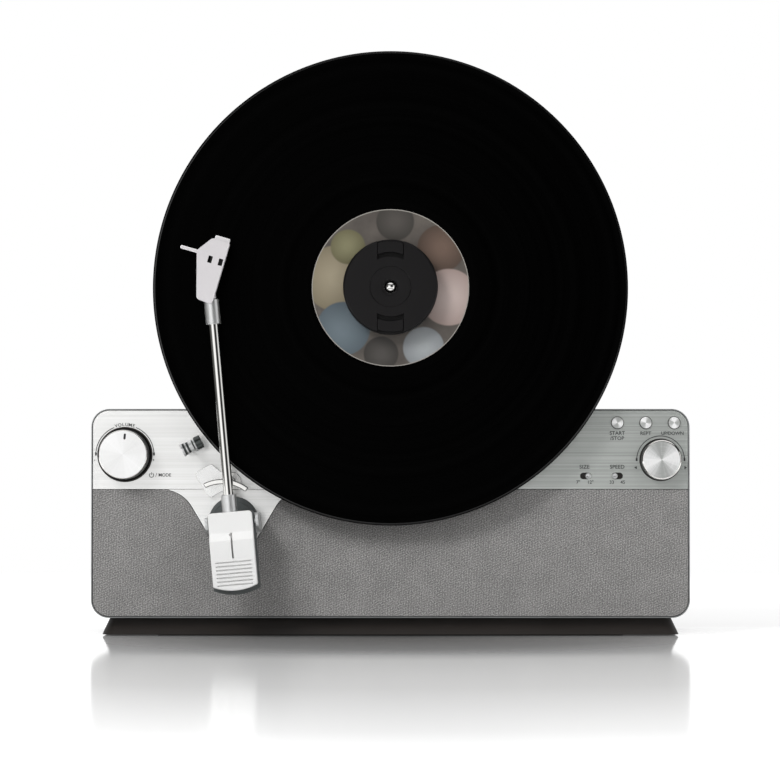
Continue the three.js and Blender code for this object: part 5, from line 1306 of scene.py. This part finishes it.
# %% Power sign and marks by the volume knob
px, py = -153.0, 103.0
ring = ring_arc(px, py, 1.4, 125, 415, 0.45)
stroke = printed(rounded(px - 0.22, py + 0.2, px + 0.22, py + 1.8, 0.1, 0.1, 2))
ink("legend_power", ring, stroke, *[words(*row) for row in (
    ("/", -150.0, 103.0, 2.4), ("MODE", -144.5, 103.0, 2.1, 0, 0.96),
    ("-", vx - 19.4, vy - 3.4, 2.2), ("+", vx + 18.2, vy - 3.6, 2.0))])

# %% [markdown]
# ## Finishes for the CAD nodes that stay
#
# What lies inside the case keeps its CAD shape and gets a proper finish. Nothing of it shows unless
# the case is opened, but each piece is dressed as what it is.

# %% CAD nodes
CAD_FINISHES = [
    (black_abs, ["front_baffle", "grille_frame", "rear_panel", "rear_sockets", "lifter_actuator"]),
    (clamp_abs, ["cartridge"]),
    (matt_rubber, ["stylus", "drive_belt"]),
    (zinc_steel, ["speaker_frame_left", "speaker_frame_right", "platter_motor", "arm_motor",
                  "volume_encoder", "jog_encoder", "volume_shaft", "jog_shaft"]),
    (paper_pulp, ["speaker_cone_left", "speaker_cone_right"]),
    (circuit_board, ["main_board", "control_board"]),
    (cast_brass, ["spindle_bearing", "motor_pulley", "arm_pinion"]),
    (nylon_gear, ["drive_pulley", "arm_gear"]),
]
dressed = set()
for finish, names in CAD_FINISHES:
    for name in names:
        nodes[name].data.materials.clear()
        nodes[name].data.materials.append(finish)
        dressed.add(name)
bare = [name for name, node in nodes.items() if name not in dressed and not node.hide_render]
print("CAD nodes dressed:", len(dressed), "left as packed:", bare)

# %% [markdown]
# ## Floor and light
#
# The photograph stands on a white glossy sheet that mirrors the cabinet's front and fades to plain
# white. The floor is a white matt surface with a mirror laid over it in front of the cabinet, which
# is strongest near the object and gone within a metre. Further out it glows a plain white for the
# eye alone, so that no horizon shows, while near the object it keeps the shadow.

# %% Floor and its mirror
POLISH = [  # metres from the middle, how much it mirrors
    (0.03, "#f6f6f6"), (0.16, "#eaeaea"), (0.26, "#d5d5d5"), (0.46, "#cbcbcb"), (0.58, "#bababa"),
    (0.69, "#a6a6a6"), (0.745, "#8f8f8f"), (0.8, "#6b6b6b"), (0.9, "#000000")]
bpy.ops.object.select_all(action="DESELECT")
bpy.ops.mesh.primitive_circle_add(vertices=96, radius=1.25, fill_type="NGON", location=(0, 0, 0))
floor = bpy.context.object
floor.name = "studio_floor"
white_sheet, tree, place = blank("white_acrylic_sheet")
length = add(tree, "VectorMath", {0: place}, operation="LENGTH")
polish = add(tree, "ValToRGB", {"Fac": length}, stops=POLISH)
parts = add(tree, "SeparateXYZ", {"Vector": place}).outputs
aside = add(tree, "Math", {0: parts["X"]}, operation="ABSOLUTE")
narrow = add(tree, "MapRange", {"Value": aside, "From Min": 0.42, "From Max": 0.27})
in_front = add(tree, "MapRange", {"Value": parts["Y"], "From Min": 0.1, "From Max": -0.02})
patch = add(tree, "Math", {0: narrow, 1: in_front}, operation="MULTIPLY")
shiny = add(tree, "Math", {0: patch, 1: polish}, operation="MULTIPLY")
blur = add(tree, "MapRange", {
    "Value": length, "From Min": 0.05, "From Max": 0.5, "To Min": 0.03, "To Max": 0.14})
mirror = add(tree, "BsdfGlossy", {"Color": WHITE, "Roughness": blur})
print("floor", round(floor.dimensions.x, 2), "metres across")

# %% [markdown]
# A ray from the camera, or one that comes to the floor by way of polished metal or glass, also sees
# a faint glow that lifts the floor to white. Light that falls from the floor on the object doesn't,
# so the glow adds nothing to the object's own light.

# %% The floor's white and its glow
rays = add(tree, "LightPath").outputs
seen = add(tree, "Math", {0: rays["Is Camera Ray"], 1: rays["Is Glossy Ray"]}, operation="ADD")
seen = add(tree, "Math", {0: seen, 1: rays["Is Transmission Ray"]}, operation="ADD", use_clamp=True)
faint = add(tree, "Math", {0: seen, 1: 0.22}, operation="MULTIPLY")
lift = add(tree, "Emission", {"Color": WHITE, "Strength": faint})
matt = add(tree, "BsdfDiffuse", {"Color": WHITE})
white = add(tree, "AddShader", {0: matt, 1: lift})
surface = add(tree, "MixShader", {"Fac": shiny, 1: white, 2: mirror})
far = add(tree, "MapRange", {"Value": length, "From Min": 0.86, "From Max": 1.15})
shine = add(tree, "Math", {0: seen, 1: far}, operation="MULTIPLY")
glow = add(tree, "Emission", {"Color": WHITE, "Strength": 1.0})
both = add(tree, "MixShader", {"Fac": shine, 1: surface, 2: glow})
add(tree, "OutputMaterial", {"Surface": both})
floor.data.materials.append(white_sheet)
print("nodes in the floor:", len(tree.nodes))

# %% [markdown]
# The world is the studio. Matt surfaces take an even light from it. Polished ones need something to
# mirror: a broad bright screen on the left, a dark gap right of the camera, a strip on the right,
# low dark flags to both sides of the backdrop, a light wall above them and a bright ceiling. That is
# why the panel runs from near white to grey, and why the tube shows a light, a dark and a light
# stripe between dark edges. The screens are laid out by compass direction in degrees, from straight
# behind over the left to the right.

# %% Screens round the object
SCREENS = [
    (-180, "#ffffff"), (-165, "#ffffff"), (-160, "#1a1a1a"), (-118, "#1e1e1e"), (-98, "#4e4e4c"),
    (-60, "#5c5c5a"), (-40, "#ffffff"), (-4, "#ffffff"), (1.5, "#828282"), (9, "#5a5a5a"),
    (15, "#2a2a2a"), (44, "#2a2a2a"), (58, "#b0b0b0"), (66, "#e6e6e6"), (84, "#e6e6e6"),
    (98, "#7c7c7a"), (120, "#6a6a68"), (130, "#242424"), (158, "#242424"), (165, "#ffffff"),
    (180, "#ffffff")]
world = bpy.data.worlds.new("studio")
scene.world = world
world.use_nodes = True
tree = world.node_tree
tree.nodes.clear()
way = add(tree, "TexCoord").outputs["Generated"]
parts = add(tree, "SeparateXYZ", {"Vector": way}).outputs
ahead = add(tree, "Math", {0: parts["Y"], 1: -1.0}, operation="MULTIPLY")
compass = add(tree, "Math", {0: parts["X"], 1: ahead}, operation="ARCTAN2")
share = add(tree, "MapRange", {"Value": compass, "From Min": -math.pi, "From Max": math.pi})
screens = add(tree, "ValToRGB", {"Fac": share}, stops=[
    ((angle + 180) / 360, code) for angle, code in SCREENS])
overhead, raised, behind = [
    add(tree, "MapRange", {"Value": parts[axis], "From Min": low, "From Max": high})
    for axis, low, high in (("Z", 0.34, 0.42), ("Z", 0.13, 0.2), ("Y", 0.3, 0.5))]
ceiling = add(tree, "ValToRGB", {"Fac": parts["Z"]}, stops=[
    (0.4, "#303030"), (0.66, "#303030"), (0.82, "#ececec")])
around = add(tree, "Mix", {"Factor": overhead, "A": screens, "B": ceiling}, data_type="RGBA")
above_flags = add(tree, "Math", {0: behind, 1: raised}, operation="MULTIPLY")
around = add(tree, "Mix", {"Factor": above_flags, "A": around, "B": colour("#e0e0e0")}, data_type="RGBA")
print("screens round the object:", len(SCREENS))

# %% [markdown]
# Three kinds of ray see three different worlds. Mirrored rays see the screens, the camera and clear
# glass see plain white, and all the others, which light the matt surfaces, see an even pale room.

# %% World
rays = add(tree, "LightPath").outputs
even = add(tree, "Background", {"Color": WHITE, "Strength": 0.56})
studio = add(tree, "Background", {"Color": around, "Strength": 1.1})
plain = add(tree, "Background", {"Color": WHITE, "Strength": 1.0})
first = add(tree, "MixShader", {"Fac": rays["Is Glossy Ray"], 1: even, 2: studio})
clear = add(tree, "Math", {
    0: rays["Is Camera Ray"], 1: rays["Is Transmission Ray"]}, operation="ADD", use_clamp=True)
last = add(tree, "MixShader", {"Fac": clear, 1: first, 2: plain})
add(tree, "OutputWorld", {"Surface": last})
print("nodes in the world:", len(tree.nodes))

# %% [markdown]
# Three lamps shape the pieces: a large soft key from the upper left, a weaker fill from the right
# and one from behind and above that parts the object from the floor. They are turned off for
# mirrored rays, because the world's screens already stand for them there.

# %% Lamps
AIM = Vector((0, 0, 0.16))
for name, spot, size, watts in (
    ("key_left", (-0.95, -1.4, 1.2), 0.6, 19.0),
    ("fill_right", (1.2, -1.3, 0.8), 1.2, 5.5),
    ("top_rear", (0.2, 1.1, 1.4), 1.0, 6.0),
):
    bpy.ops.object.light_add(type="AREA", location=spot)
    lamp = bpy.context.object
    lamp.name = name
    lamp.data.size = size
    lamp.data.energy = watts
    lamp.rotation_euler = (AIM - Vector(spot)).to_track_quat("-Z", "Y").to_euler()
    lamp.visible_glossy = False
    print(name, watts, "watts")
scene.view_settings.view_transform = "Standard"
